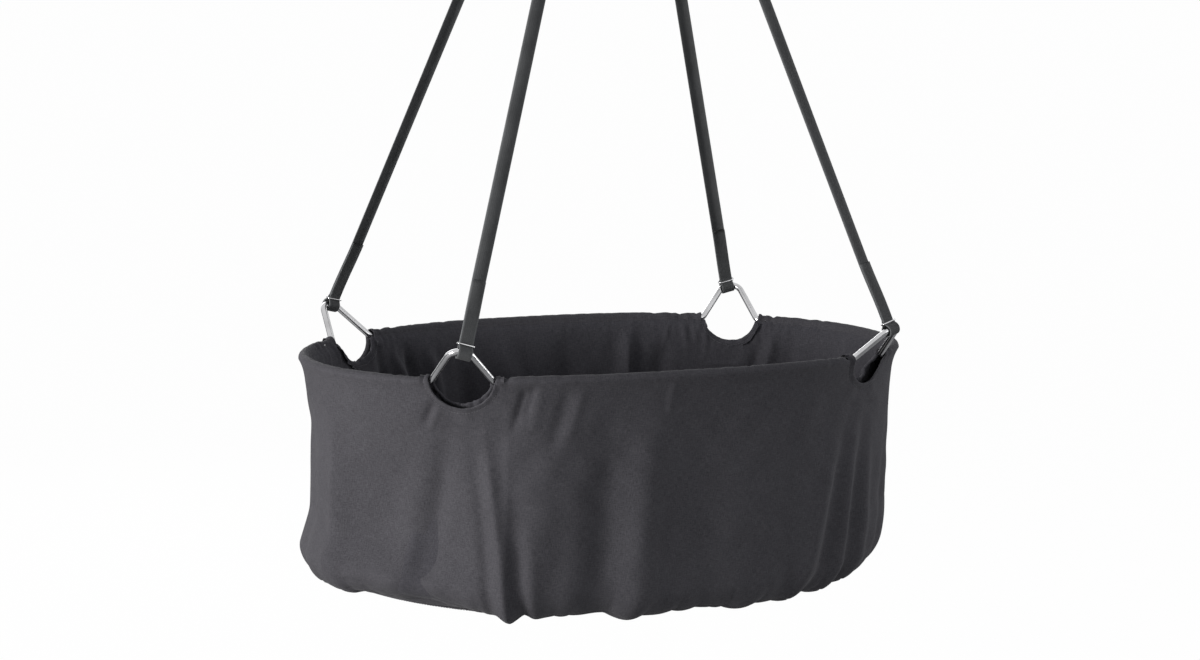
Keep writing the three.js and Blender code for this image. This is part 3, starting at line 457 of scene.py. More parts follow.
def smoothstep(x, low, high):
    """Nothing below low, one above high, and smooth between."""
    t = np.clip((np.asarray(x, float) - low) / (high - low), 0, 1)
    return t * t * (3 - 2 * t)


def webbing_ring(width, thickness):
    """Section of webbing, (across, through): flat faces and round edges."""
    half, r = width / 2, thickness / 2
    ring = []
    for sign in (1, -1):
        for a in np.linspace(-QUARTER, QUARTER, 5):
            ring.append((sign * (half - r + r * math.cos(a)), sign * r * math.sin(a)))
        inner = np.linspace(half - r, -(half - r), 8)[1:-1]
        ring += [(sign * x, sign * r) for x in inner]
    return np.array(ring)


def strap(name, turn, place, material):
    """A webbing strap: round its peak, through its keeper, up to the bar and round that."""
    loop, upward, across, length, bore = strap_seat(turn, place)
    layer = (STRAP_THICKNESS + GAP) / 2
    radius = bore + STRAP_THICKNESS / 2
    touch = math.atan2(STRAP_JOIN, layer) - math.acos(radius / math.hypot(STRAP_JOIN, layer))
    bar_radius = LINK_WIRE + GAP + STRAP_THICKNESS / 2
    skew = STRAP_WIDTH / 2 * math.tan(math.asin(abs(upward[0])))
    section = [
        *[(-layer, a) for a in np.arange(STRAP_TAIL, STRAP_JOIN, -PATH_STEP)],
        *section_arc(radius, 0, math.pi - touch, TURN + touch),
        *[(layer, a) for a in np.arange(STRAP_JOIN + PATH_STEP, length - BAR_JOIN, PATH_STEP)],
        (layer, length - BAR_JOIN),
        (bar_radius, length - skew - GAP),
        *section_arc(bar_radius, length + skew, 0, math.pi),
        (-bar_radius, length - skew - GAP),
        *[(-layer, a) for a in np.arange(length - BAR_JOIN, length - BAR_TAIL, -PATH_STEP)],
    ]
    middles = np.array(section)
    bar_across = np.array([1.0, 0, 0])
    bar_across = unit(bar_across - upward * (bar_across @ upward))
    twist = math.atan2(np.cross(across, bar_across) @ upward, across @ bar_across)
    share = smoothstep(middles[:, 1], STRAP_TWIST_START, length - BAR_TAIL)
    flat = np.column_stack([middles, np.zeros(len(middles))])
    along = directions(flat)[:, :2]
    ring = webbing_ring(STRAP_WIDTH, STRAP_THICKNESS)
    bend = (2 * ring[:, :1] / STRAP_WIDTH) ** 2
    ending = smoothstep(middles[:, 1], length - STRAP_BOW_END, length - BAR_TAIL)
    bow = smoothstep(middles[:, 1], *STRAP_BOW_START) * (1 - ending) * STRAP_BOW
    rings, uvs = [], []
    distance = run_along(middles)
    for (through, height), (dx, dz), s, d, b in zip(middles, along, share, distance, bow):
        wide = turned(across, upward, twist * s)
        thick = np.cross(upward, wide)
        normal = thick * dz - upward * dx
        centre = loop + thick * through + upward * height
        inward = thick * -math.copysign(1, thick[:2] @ loop[:2])
        rings.append(centre + ring[:, :1] * wide + ring[:, 1:] * normal + bend * b * inward)
        uvs += [(x, d) for x in ring[:, 0]]
    points, faces = skin(rings)
    uvs += [(0, 0), (0, distance[-1])]
    obj = add_mesh(f"webbing_{name}", points, faces, material, "cradle", uvs=uvs)
    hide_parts(f"strap_{name}")


def keeper(name, turn, place, material):
    """The bright wire round both layers of a strap, just above its peak."""
    loop, upward, across, _, _ = strap_seat(turn, place)
    through = np.cross(upward, across)
    half_width = STRAP_WIDTH / 2 + GAP + KEEPER_WIRE
    half_depth = STRAP_THICKNESS + GAP / 2 + GAP + KEEPER_WIRE
    middle = loop + upward * KEEPER_RISE
    corners = [
        (middle + across * a * half_width + through * b * half_depth, KEEPER_CORNER)
        for a, b in ((-1, -1), (1, -1), (1, 1), (-1, 1))
    ]
    path = rounded_path(corners, math.radians(12), closed=True)
    points, faces = closed_tube(path, KEEPER_WIRE, 14, upward)
    obj = add_mesh(f"wire_keeper_{name}", points, faces, material, f"keeper_{name}")
    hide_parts(f"keeper_{name}")


# Cloth of the bag: rows down its side view, columns round the rim, folds that push it out or in

SPACING = 0.0028
COLUMNS = round(PERIMETER / SPACING)
RUNS = np.arange(COLUMNS) / COLUMNS * PERIMETER
STRAIGHT = BAG_DEPTH - CORNER_RADIUS
RIGHT_SIDE = math.radians(-16)  # place of the right side that the camera sees edge on
FLAP = 0.0025  # of outer cloth under the rod on the inside
LINING_CORNER = CORNER_RADIUS - FLOOR_STACK
LINING_START = 0.0012  # drop of the lining's upper edge
LINING_TUCK = 0.0014  # that edge lies this much nearer the rod
TUCK_DROPS = (0.0015, 0.0065)  # and between these drops it comes away
PANEL_REACH = HEM_RADIUS - CORNER_RADIUS - SEAM_TURN_UNDER - PANEL_MARGIN


def rows_of(*parts):
    """Joins stretches of a side view into arrays of reach, drop, lean and distance down the cloth."""
    reach, drop, lean = (np.concatenate([part[i] for part in parts]) for i in range(3))
    steps = np.hypot(np.diff(reach), np.diff(drop))
    down = np.concatenate([[0], np.cumsum(steps)])
    return {"reach": reach, "drop": drop, "lean": lean, "down": down}


def inset(turn, drop):
    """How far the wall is drawn in: soon under the hem, and less again at the foot of the left end."""
    leftward = 0.5 - 0.5 * np.cos(turn - RIGHT_SIDE)
    neck = 1 - np.exp(-np.clip(drop, 0, 1) / NECK_DEPTH)
    foot = smoothstep(drop, *FOOT_DROPS)
    right_foot = smoothstep(drop, *SEAT_DROPS) * (1 - leftward) ** 2
    slack = LEFT_INSET * leftward ** 4 * smoothstep(drop, *LEFT_DROPS) * (1 - foot)
    return WALL_INSET * neck * (1 - FOOT_SHARE * leftward * foot) + SEAT_INSET * right_foot + slack


def rise_at(x, *rises):
    """Height that rises add at a place along the bag."""
    return sum(height * np.clip((x - start) / length, 0, 2) ** RISE_POWER for start, length, height in rises)


def floor_rise(x):
    """How far the bag's floor lies above its flat middle."""
    return rise_at(x, FLOOR_LEFT, FLOOR_RIGHT)


def bottom_rise(x, inward):
    """How far the bottom lies above the flat of the floor, along the bag and inward of the rod."""
    under = smoothstep(inward, EDGE_REACH, FLOOR_REACH)
    return (rise_at(x, EDGE_LEFT, EDGE_RIGHT) - EDGE_DROOP) * (1 - under) + floor_rise(x) * under


def bag_point(turn, reach, drop, share):
    """Points of the bag at a reach from the rod's middle line and a drop, in the row frame."""
    inward = inset(turn, drop)
    level = oval(RIM_HALF_LENGTH + reach - inward, RIM_HALF_WIDTH + reach - inward, turn)
    risen = bottom_rise(level[..., 0], inward - reach) * share
    height = rim_height + rim_dip(turn) * (1 - share) - drop + risen
    return np.concatenate([level, height[..., None]], -1)


def outer_rows():
    """Side view of the outer cloth, from inside the rod, over it and down to the seam below."""
    flap = np.arange(FLAP, 0, -SPACING / 2)
    over = np.linspace(-math.pi, 0, 14)
    wall = np.arange(SPACING, STRAIGHT, SPACING)
    corner = np.linspace(0, QUARTER, round(CORNER_RADIUS * QUARTER / SPACING))[1:]
    under = np.arange(SPACING, SEAM_TURN_UNDER, SPACING)
    return rows_of(
        (-HEM_RADIUS + 0 * flap, flap, -math.pi + 0 * flap),
        (HEM_RADIUS * np.cos(over), HEM_RADIUS * np.sin(over), over),
        (HEM_RADIUS + 0 * wall, wall, 0 * wall),
        (HEM_RADIUS - CORNER_RADIUS * (1 - np.cos(corner)),
         STRAIGHT + CORNER_RADIUS * np.sin(corner), corner),
        (HEM_RADIUS - CORNER_RADIUS - under, BAG_DEPTH + 0 * under, QUARTER + 0 * under),
    )


def lining_rows():
    """Side view of the lining's inner face, from under the flap down to the edge of its floor."""
    wall = np.arange(LINING_START, STRAIGHT, SPACING)
    share = wall / STRAIGHT
    apart = 2 * HEM_RADIUS + (FLOOR_STACK + CLOTH - 2 * HEM_RADIUS) * share
    tuck = LINING_TUCK * (1 - smoothstep(wall, *TUCK_DROPS))
    corner = np.linspace(0, QUARTER, round(LINING_CORNER * QUARTER / SPACING))[1:]
    edge = HEM_RADIUS - FLOOR_STACK - CLOTH
    deep = STRAIGHT - CLOTH * smoothstep(corner, 0, QUARTER)
    return rows_of(
        (HEM_RADIUS - apart + tuck, wall, 0 * wall),
        (edge - LINING_CORNER * (1 - np.cos(corner)), deep + LINING_CORNER * np.sin(corner), corner),
    )


def apart_on_rim(run, centre):
    """Signed distance round the rim from a place to another."""
    return (run - centre + PERIMETER / 2) % PERIMETER - PERIMETER / 2


def slanting(run, drop, top, bottom, start):
    """Distance round the rim from a line that slants between two places, in degrees round the bag,
    and the share of the way down it."""
    t = np.clip((drop - start) / (BAG_DEPTH - start), 0, 1)
    top_run = run_of(math.radians(top))
    swing = apart_on_rim(run_of(math.radians(bottom)), top_run)
    return apart_on_rim(run, top_run + swing * t), t


def fold(run, drop, top, bottom, start, end, height, wide, narrow, power):
    """One fold: its places at the top and bottom in degrees round the bag, the drops where it starts
    and is full, its height, its half width at the top and at the bottom, and its sharpness."""
    x, t = slanting(run, drop, top, bottom, start)
    width = wide + (narrow - wide) * t
    return height * smoothstep(drop, start, end) * np.exp(-(np.abs(x) / width) ** power)


def fading(run, drop, top, bottom, start, full, end, height, wide, narrow, power):
    """A fold that also dies away again, at a drop."""
    value = fold(run, drop, top, bottom, start, full, height, wide, narrow, power)
    return value * (1 - smoothstep(drop, full + (end - full) / 2, end))


def ridge(run, drop, top, bottom, start, end, height, left, right):
    """The main ridge: nearly straight up to its crest on the left and steeply down on the right."""
    x, _ = slanting(run, drop, top, bottom, start)
    rising = np.clip(1 + x / left, 0, 1) ** 1.25
    falling = np.exp(-(np.abs(x) / right) ** 1.5)
    return height * smoothstep(drop, start, end) * np.where(x < 0, rising, falling)


def facet(run, drop, share=1.0):
    """Cloth pulled flat between the left end and the main ridge: how far in from the oval it lies."""
    ends = oval(RIM_HALF_LENGTH, RIM_HALF_WIDTH, np.radians(FACET_ENDS))
    along = unit(ends[1] - ends[0])
    beyond = (oval(RIM_HALF_LENGTH, RIM_HALF_WIDTH, turn_of(run)) - ends[0]) @ [along[1], -along[0]]
    depth = np.clip(beyond, 0, None) * share
    return -depth * smoothstep(drop, *FACET_DROPS) * (1 - FACET_EASE * smoothstep(drop, *FACET_FOOT))


def waves(run, drop, rng, count, longest, shortest, height, lean=0.5):
    """Soft unevenness: waves round the rim, each with its own length and slant."""
    total = 0
    for _ in range(count):
        turns = rng.integers(round(PERIMETER / longest), round(PERIMETER / shortest) + 1)
        slant = rng.uniform(-lean, lean) * turns / PERIMETER * TURN
        phase = rng.uniform(0, TURN)
        sway = rng.uniform(0, TURN)
        bend = 0.6 * np.sin(run / PERIMETER * TURN * rng.integers(2, 6) + sway)
        total = total + np.sin(run / PERIMETER * TURN * turns + slant * drop + phase + bend)
    return total * height / math.sqrt(count)


def gathers(run, level, rng, least, most, height, reach_low, reach_high, hollow=0.35):
    """Cloth gathered into a seam: puffs between creases that lie `least` to `most` apart. `level` is
    the distance from the seam, each puff runs up to its own reach, and `hollow` lowers the creases."""
    places = [0.0]
    while places[-1] < PERIMETER - most:
        places.append(places[-1] + rng.uniform(least, most))
    places = np.array(places)
    following = np.append(places[1:], PERIMETER)
    reach = rng.uniform(reach_low, reach_high, len(places))
    size = height * rng.uniform(0.35, 1.0, len(places)) * (following - places) / most
    lean = rng.uniform(-0.25, 0.25, len(places))
    shifted = (run + np.interp(run, places, lean, period=PERIMETER) * level) % PERIMETER
    i = np.clip(np.searchsorted(places, shifted, side="right") - 1, 0, len(places) - 1)
    x = (shifted - places[i]) / (following[i] - places[i])
    far = reach[i] * (1 - x) + reach[(i + 1) % len(places)] * x
    puff = np.sin(np.pi * x) ** 0.65 - hollow
    return size[i] * puff * (1 - smoothstep(level, 0, far)) ** 1.3


PUCKER_WIDTHS = (0.0022, 0.0050)  # least and greatest half width of a crease
PUCKER_NEAR = 0.050  # creases are deep this far each way from the edge of a cut-out
PUCKER_LEAST = 0.18  # and this share as deep elsewhere


def puckers(run, level, rng, spacing, height, reach_low, reach_high):
    """Short creases that hang from the hem, thickest beside the cut-outs."""
    total = np.zeros(np.broadcast(run, level).shape)
    place = rng.uniform(0, spacing)
    while place < PERIMETER:
        width = rng.uniform(*PUCKER_WIDTHS)
        depth = height * rng.uniform(0.2, 1.0)
        near = min(abs(apart_on_rim(place, run_of(turn))) for turn, _ in PEAKS.values())
        depth *= PUCKER_LEAST + (1 - PUCKER_LEAST) * math.exp(-((near - CUT_RADIUS) / PUCKER_NEAR) ** 2)
        far = rng.uniform(reach_low, reach_high) * (0.5 + 0.5 * math.exp(-near / 0.12))
        slant = rng.uniform(-0.35, 0.35)
        columns = np.abs(apart_on_rim(RUNS, place)) < 4 * width + 0.4 * reach_high
        offset = apart_on_rim(run[:, columns], place + slant * level[:, columns]) / width
        fade = 1 - smoothstep(level[:, columns], 0.2 * far, far)
        total[:, columns] -= depth * fade * np.exp(-offset ** 2)
        place += rng.uniform(0.4, 1.6) * spacing
    return total


def around_cut_outs(run, drop, rng, drag, radius):
    """The band sewn round each cut-out, the seam under it, and lines of drag that leave it."""
    total = np.zeros(np.broadcast(run, drop).shape)
    for turn, _ in PEAKS.values():
        x = apart_on_rim(run, run_of(turn))
        z = drop + CUT_RADIUS - CUT_DEPTH
        out = np.hypot(x, z) - radius
        around = np.arctan2(x, z)
        band = BAND_HEIGHT * (1 - smoothstep(out, *BAND_EDGE))
        groove = -GROOVE_DEPTH * np.exp(-((out - STITCH_PLACE) / GROOVE_WIDTH) ** 2)
        seam = CUT_SEAM_DROP + 0.0025 * np.cos(x / 0.02)
        ending = smoothstep(np.abs(x), *CUT_SEAM_ENDS)
        low = -GROOVE_DEPTH * np.exp(-((drop - seam) / 0.0014) ** 2) * (1 - ending)
        spokes = 0
        for waves_round in (5, 8, 13):
            spokes = spokes + np.sin(waves_round * around + rng.uniform(0, TURN)) / math.sqrt(waves_round)
        pull = drag * spokes * smoothstep(out, 0, 0.010) * np.exp(-np.clip(out, 0, 1) / DRAG_REACH)
        near = (np.abs(x) < CUT_NEAR) & (out > -0.004)
        total += np.where(near, band + groove + low + pull, 0)
    return total


def place_points(run, level, push=0.0):
    """Points of a layer: its rows pushed square to the cloth."""
    reach = level["reach"] + push * np.cos(level["lean"])
    drop = level["drop"] + push * np.sin(level["lean"])
    return bag_point(turn_of(run), reach, drop, np.clip(level["drop"] / STRAIGHT, 0, 1))


def cut_centre(turn):
    """Middle of a peak on the rim, centre of its cut-out and the level direction along the rim there."""
    middle, _, along, _, _ = peak_frame(turn)
    return middle, np.append(middle[:2], rim_height + CUT_RADIUS - CUT_DEPTH), along


def cut_distance(points, radius):
    """Distance of each point from the nearest cut-out's edge, below zero inside, and how far round the
    rim and down the cloth it has to go to that edge."""
    best = np.full(points.shape[:-1], np.inf)
    shift = np.zeros((*points.shape[:-1], 2))
    for turn, _ in PEAKS.values():
        middle, centre, along = cut_centre(turn)
        x = (points - centre) @ along
        z = points[..., 2] - centre[2]
        facing_it = (points[..., :2] @ middle[:2]) > 0.5 * middle[:2] @ middle[:2]
        rho = np.hypot(x, z)
        out = np.where(facing_it, rho - radius, np.inf)
        nearer = out < best
        best = np.where(nearer, out, best)
        scale = np.where(nearer, radius / np.maximum(rho, 1e-6) - 1, 0)
        shift = np.where(nearer[..., None], np.stack([x * scale, -z * scale], -1), shift)
    return best, shift


def round_quads(grid):
    """Faces between the rows of a grid of point numbers whose rows close round."""
    right = np.roll(grid, -1, 1)
    return np.stack([grid[:-1], grid[1:], right[1:], right[:-1]], -1)


def edge_of(points, quads):
    """The open edges of a sheet with each end's normal and its direction out of the cloth."""
    corner = points[quads]
    normal = np.cross(corner[:, 2] - corner[:, 0], corner[:, 3] - corner[:, 1])
    normals = np.zeros_like(points)
    for i in range(4):
        np.add.at(normals, quads[:, i], normal)
    normals = unit(normals + 1e-12)
    pairs = np.concatenate([quads[:, [i, (i + 1) % 4]] for i in range(4)])
    key = np.sort(pairs, 1)
    _, first, count = np.unique(key[:, 0] * len(points) + key[:, 1], return_index=True, return_counts=True)
    edges = pairs[first[count == 1]]
    side = np.cross(points[edges[:, 1]] - points[edges[:, 0]], normals[edges[:, 0]] + normals[edges[:, 1]])
    outward = np.zeros_like(points)
    for i in (0, 1):
        np.add.at(outward, edges[:, i], side)
    return edges, normals, unit(outward + 1e-12)


def turn_edges(points, quads, uvs, thickness, lip):
    """Rolls every open edge of a sheet round to its back and runs it in a little way."""
    edges, normals, outward = edge_of(points, quads)
    ends = np.unique(edges)
    index = np.zeros(len(points), np.int64)
    index[ends] = np.arange(len(ends))
    r = thickness / 2
    n, b, p, uv = normals[ends], outward[ends], points[ends], uvs[ends]
    roll = [(r * math.sin(a), r * (math.cos(a) - 1)) for a in np.linspace(0, math.pi, 5)[1:]]
    roll += [(-lip * share, -thickness) for share in (0.3, 1.0)]
    parts, faces, maps, before = [points], [quads], [uvs], ends
    for step, (out, back) in enumerate(roll):
        start = len(points) + step * len(ends)
        parts.append(p + b * out + n * back)
        maps.append(uv + 0.0004 * (step + 1))
        after = start + np.arange(len(ends))
        a, c = index[edges[:, 0]], index[edges[:, 1]]
        faces.append(np.stack([before[c], before[a], after[a], after[c]], -1))
        before = after
    return np.concatenate(parts), np.concatenate(faces), np.concatenate(maps)


def add_cloth(name, points, quads, uvs, material, body):
    """A cloth piece from quads, with its map in metres kept whole where it closes round."""
    mesh = bpy.data.meshes.new(name)
    used = np.unique(quads)
    index = np.zeros(len(points), np.int64)
    index[used] = np.arange(len(used))
    quads, points, uvs = index[quads], points[used], uvs[used]
    mesh.vertices.add(len(points))
    mesh.vertices.foreach_set("co", points.astype(np.float32).ravel())
    mesh.loops.add(quads.size)
    mesh.loops.foreach_set("vertex_index", quads.ravel().astype(np.int32))
    mesh.polygons.add(len(quads))
    mesh.polygons.foreach_set("loop_start", np.arange(0, quads.size, 4, dtype=np.int32))
    mesh.polygons.foreach_set("use_smooth", np.ones(len(quads), bool))
    mesh.update(calc_edges=True)
    mesh.validate()
    corner = uvs[quads].copy()
    wrap = corner[..., 0].max(1, keepdims=True) - corner[..., 0] > PERIMETER / 2
    corner[..., 0] += np.where(wrap, PERIMETER, 0)
    layer = mesh.uv_layers.new(name="cloth")
    layer.data.foreach_set("uv", corner.astype(np.float32).ravel())
    mesh.materials.append(material)
    obj = in_scene(name, mesh)
    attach(obj, body)
    return obj


def spread(rows):
    """The distance round the bag and the measures of a side view, at each point of its grid."""
    run = np.broadcast_to(RUNS, (len(rows["drop"]), COLUMNS)).copy()
    return run, {k: np.broadcast_to(v[:, None], run.shape).copy() for k, v in rows.items()}


def layer_grid(rows, push_of, radius):
    """Points, faces and map of a bag layer with its cut-outs, folded by push_of(run, rows)."""
    run, level = spread(rows)
    base = place_points(run, level)
    out, shift = cut_distance(base, radius)
    inside = out < 0
    right = np.roll(inside, -1, 1)
    keep = ~(inside[:-1] & inside[1:] & right[:-1] & right[1:])
    run = run + np.where(inside, shift[..., 0], 0)
    down = level["down"] + np.where(inside, shift[..., 1], 0)
    down = np.clip(down, 0, rows["down"][-1])
    for k in ("reach", "drop", "lean"):
        moved = np.interp(down, rows["down"], rows[k])
        level[k] = np.where(inside, moved, level[k])
    level["down"] = np.where(inside, down, level["down"])
    points = place_points(run, level, push_of(run, level)).reshape(-1, 3)
    uvs = np.stack([run, -level["down"]], -1).reshape(-1, 2)
    grid = np.arange(run.size).reshape(run.shape)
    return points, round_quads(grid)[keep], uvs


# Where the outer cloth is pulled flat: from and to in degrees round the bag, the drops where that
# starts and is full, the drops between which it eases at the foot, and the share by which it eases
FACET_ENDS = (-173, -122)
FACET_DROPS = (0.015, 0.150)
FACET_FOOT = (0.215, 0.285)
FACET_EASE = 0.55

# The ridge at its right: top and bottom place in degrees round the bag, drop where it starts, drop
# where it is full, height, and its width on the left and on the right of its crest
MAIN_RIDGE = (-128.2, -121.4, 0.030, 0.150, 0.0125, 0.150, 0.0115)

BAND_HEIGHT = 0.0017  # of the band round a cut-out
BAND_EDGE = (STITCH_PLACE - 0.002, STITCH_PLACE + 0.003)
GROOVE_DEPTH = 0.0022  # of its stitch line and of the seam under it
GROOVE_WIDTH = 0.0013  # half width of a stitch line's groove
CUT_SEAM_DROP = 0.058
CUT_SEAM_ENDS = (0.018, 0.030)  # the seam dies away between these distances from its middle
DRAG_REACH = 0.030  # of the lines of drag
CUT_NEAR = 0.14  # a cut-out shapes the cloth this far each way round the rim

# Folds of the outer cloth. Each row: top and bottom place in degrees round the bag, drop where it
# starts, drop where it is full, height, half width at the top and at the bottom, and sharpness.
OUTER_FOLDS = [
    (-130.4, -124.6, 0.050, 0.150, -0.0050, 0.011, 0.009, 2.0),
    (-121.0, -118.4, 0.090, 0.230, -0.0035, 0.014, 0.010, 2.0),
    (-118.0, -116.4, 0.150, 0.230, 0.0030, 0.012, 0.009, 2.0),
    (-135.5, -144.5, 0.045, 0.150, -0.0065, 0.012, 0.020, 2.0),
    (-141.5, -152.0, 0.050, 0.170, 0.0040, 0.016, 0.026, 2.0),
    (-113.0, -114.0, 0.030, 0.160, 0.0048, 0.050, 0.046, 2.0),
    (-110.5, -113.0, 0.060, 0.180, -0.0022, 0.016, 0.016, 2.0),
    (-101.5, -104.0, 0.010, 0.150, -0.0055, 0.024, 0.026, 2.0),
    (-95.0, -97.0, 0.000, 0.120, 0.0058, 0.020, 0.020, 2.2),
    (-88.0, -87.0, 0.040, 0.200, -0.0040, 0.028, 0.028, 2.0),
    (-74.0, -70.0, 0.100, 0.240, -0.0035, 0.030, 0.020, 2.0),
    (-54.5, -68.0, 0.040, 0.190, 0.0050, 0.016, 0.018, 1.8),
    (-52.5, -62.5, 0.040, 0.190, -0.0062, 0.012, 0.015, 1.8),
    (-49.5, -56.5, 0.040, 0.190, 0.0058, 0.011, 0.013, 1.8),
    (-46.5, -51.5, 0.050, 0.200, -0.0058, 0.010, 0.012, 1.8),
    (-43.5, -46.5, 0.050, 0.210, 0.0052, 0.010, 0.012, 2.0),
    (-30.0, -34.0, 0.060, 0.200, -0.0050, 0.014, 0.014, 2.0),
    (-12.0, -10.0, 0.030, 0.160, 0.0045, 0.018, 0.022, 2.0),
    (9.0, 8.0, 0.040, 0.200, -0.0045, 0.014, 0.016, 2.0),
    (24.0, 28.0, 0.060, 0.220, 0.0050, 0.014, 0.014, 2.0),
    (38.0, 41.5, 0.060, 0.200, -0.0060, 0.012, 0.012, 1.8),
    (54.0, 60.0, 0.050, 0.230, 0.0080, 0.018, 0.011, 1.6),
    (57.0, 64.0, 0.080, 0.230, -0.0050, 0.012, 0.010, 2.0),
    (76.0, 77.0, 0.020, 0.160, -0.0045, 0.022, 0.024, 2.0),
    (101.0, 99.0, 0.020, 0.160, 0.0055, 0.022, 0.020, 2.0),
    (127.0, 121.0, 0.050, 0.230, 0.0075, 0.016, 0.012, 1.6),
    (131.0, 126.0, 0.070, 0.210, -0.0050, 0.012, 0.010, 2.0),
    (139.0, 144.0, 0.060, 0.200, -0.0050, 0.014, 0.014, 2.0),
    (158.0, 161.0, 0.080, 0.240, 0.0045, 0.018, 0.016, 2.0),
    (172.0, 172.0, 0.030, 0.180, -0.0045, 0.016, 0.018, 2.0),
    (187.0, 189.0, 0.040, 0.220, 0.0045, 0.014, 0.016, 2.0),
]

# Short folds that die away again: as above, with the drop where each one is gone before its height
OUTER_SHORT_FOLDS = [
    (-107.0, -120.0, 0.000, 0.030, 0.080, 0.0018, 0.007, 0.010, 2.0),
    (-109.8, -122.0, 0.000, 0.030, 0.100, -0.0022, 0.008, 0.012, 2.0),
    (-115.0, -126.0, 0.004, 0.030, 0.070, 0.0014, 0.008, 0.010, 2.0),
    (-118.0, -133.0, 0.002, 0.016, 0.070, -0.0036, 0.005, 0.007, 2.0),
    (-116.5, -130.0, 0.000, 0.012, 0.055, -0.0026, 0.004, 0.006, 2.0),
    (-92.2, -97.0, 0.000, 0.014, 0.050, 0.0014, 0.005, 0.006, 2.0),
    (-138.0, -166.0, 0.022, 0.034, 0.062, -0.0030, 0.004, 0.005, 2.0),
    (-136.5, -166.0, 0.030, 0.040, 0.070, 0.0020, 0.004, 0.005, 2.0),
]


OUTER_SETTLED = 0.060  # the soft waves have their full height from this drop on
SEAM_GROOVE = 0.0016  # depth of the stitch line over the lower edge
UNDER_CALM = 0.35  # folds are this share lower where the cloth has turned under
EDGE_CALM = 0.012  # and level out over this far at the lower edge
EDGE_TUCK = 0.0015  # which is drawn in this far


def outer_push(run, level):
    """How far the outer cloth stands out from its plain side view."""
    rng = np.random.default_rng(7)
    drop, down = level["drop"], level["down"]
    last = down.max()
    seam = last - down
    push = sum(fold(run, drop, *row) for row in OUTER_FOLDS)
    push = push + ridge(run, drop, *MAIN_RIDGE) + facet(run, drop)
    for row in OUTER_SHORT_FOLDS:
        push = push + fading(run, drop, *row)
    settled = smoothstep(drop, 0.0, OUTER_SETTLED)
    push = push + settled * waves(run, drop, rng, 7, longest=0.40, shortest=0.14, height=0.0013, lean=0.4)
    push = push + settled * waves(run, drop, rng, 9, longest=0.11, shortest=0.045, height=0.00045, lean=1.2)
    push = push + gathers(run, seam, rng, least=0.016, most=0.052, height=0.0105,
                          reach_low=0.040, reach_high=0.105, hollow=0.22)
    hem = np.clip(down - FLAP, 0, None)
    push = push + puckers(run, hem, rng, spacing=0.0070, height=0.0042, reach_low=0.018, reach_high=0.052)
    push = push + around_cut_outs(run, drop, rng, drag=0.0016, radius=CUT_RADIUS + CUT_MARGIN)
    push = push - SEAM_GROOVE * np.exp(-((seam - SEAM_LINE) / GROOVE_WIDTH) ** 2)
    under = smoothstep(level["lean"], 0.7, QUARTER)
    push = push * (1 - UNDER_CALM * under) * (1 - smoothstep(down, last - EDGE_CALM, last))
    return push - EDGE_TUCK * smoothstep(down, last - EDGE_CALM / 2, last)


# Folds of the lining, with rows as in OUTER_FOLDS
LINING_FOLDS = [
    (126.0, 112.0, 0.010, 0.060, 0.0081, 0.007, 0.014, 1.8),
    (121.5, 106.0, 0.010, 0.060, -0.0098, 0.007, 0.012, 2.0),
    (118.0, 104.0, 0.000, 0.050, 0.0072, 0.006, 0.012, 1.8),
    (112.0, 103.0, 0.000, 0.060, -0.0098, 0.010, 0.014, 2.0),
    (104.0, 99.0, 0.000, 0.080, 0.0063, 0.014, 0.018, 2.0),
    (94.0, 93.0, 0.000, 0.080, -0.0110, 0.014, 0.020, 2.0),
    (84.0, 86.0, 0.000, 0.080, 0.0063, 0.016, 0.020, 2.0),
    (72.0, 73.0, 0.000, 0.050, -0.0128, 0.010, 0.012, 1.8),
    (64.0, 68.0, 0.020, 0.080, 0.0072, 0.012, 0.016, 2.0),
    (38.0, 50.0, 0.000, 0.060, 0.0072, 0.008, 0.014, 1.8),
    (34.0, 45.0, 0.000, 0.060, -0.0098, 0.008, 0.012, 2.0),
    (28.0, 36.0, 0.000, 0.070, 0.0063, 0.010, 0.014, 2.0),
    (8.0, 6.0, 0.000, 0.080, -0.0098, 0.012, 0.016, 2.0),
    (-14.0, -12.0, 0.000, 0.080, 0.0063, 0.014, 0.018, 2.0),
    (-60.0, -67.0, 0.010, 0.080, 0.0072, 0.012, 0.016, 2.0),
    (-80.0, -82.0, 0.000, 0.090, -0.0110, 0.016, 0.020, 2.0),
    (-101.0, -99.0, 0.000, 0.080, 0.0063, 0.016, 0.020, 2.0),
    (-117.0, -111.0, 0.010, 0.090, -0.0110, 0.012, 0.016, 2.0),
    (-143.0, -149.0, 0.010, 0.080, 0.0063, 0.012, 0.016, 2.0),
    (-170.0, -168.0, 0.000, 0.080, -0.0098, 0.012, 0.016, 2.0),
    (168.0, 164.0, 0.000, 0.080, 0.0063, 0.012, 0.018, 2.0),
]


LINING_SETTLED = 0.040
LINING_CALM = 0.045  # the lining's folds level out over this far at the edge of its floor
LINING_STEP = 0.0008  # under its upper edge the lining lies this much further in


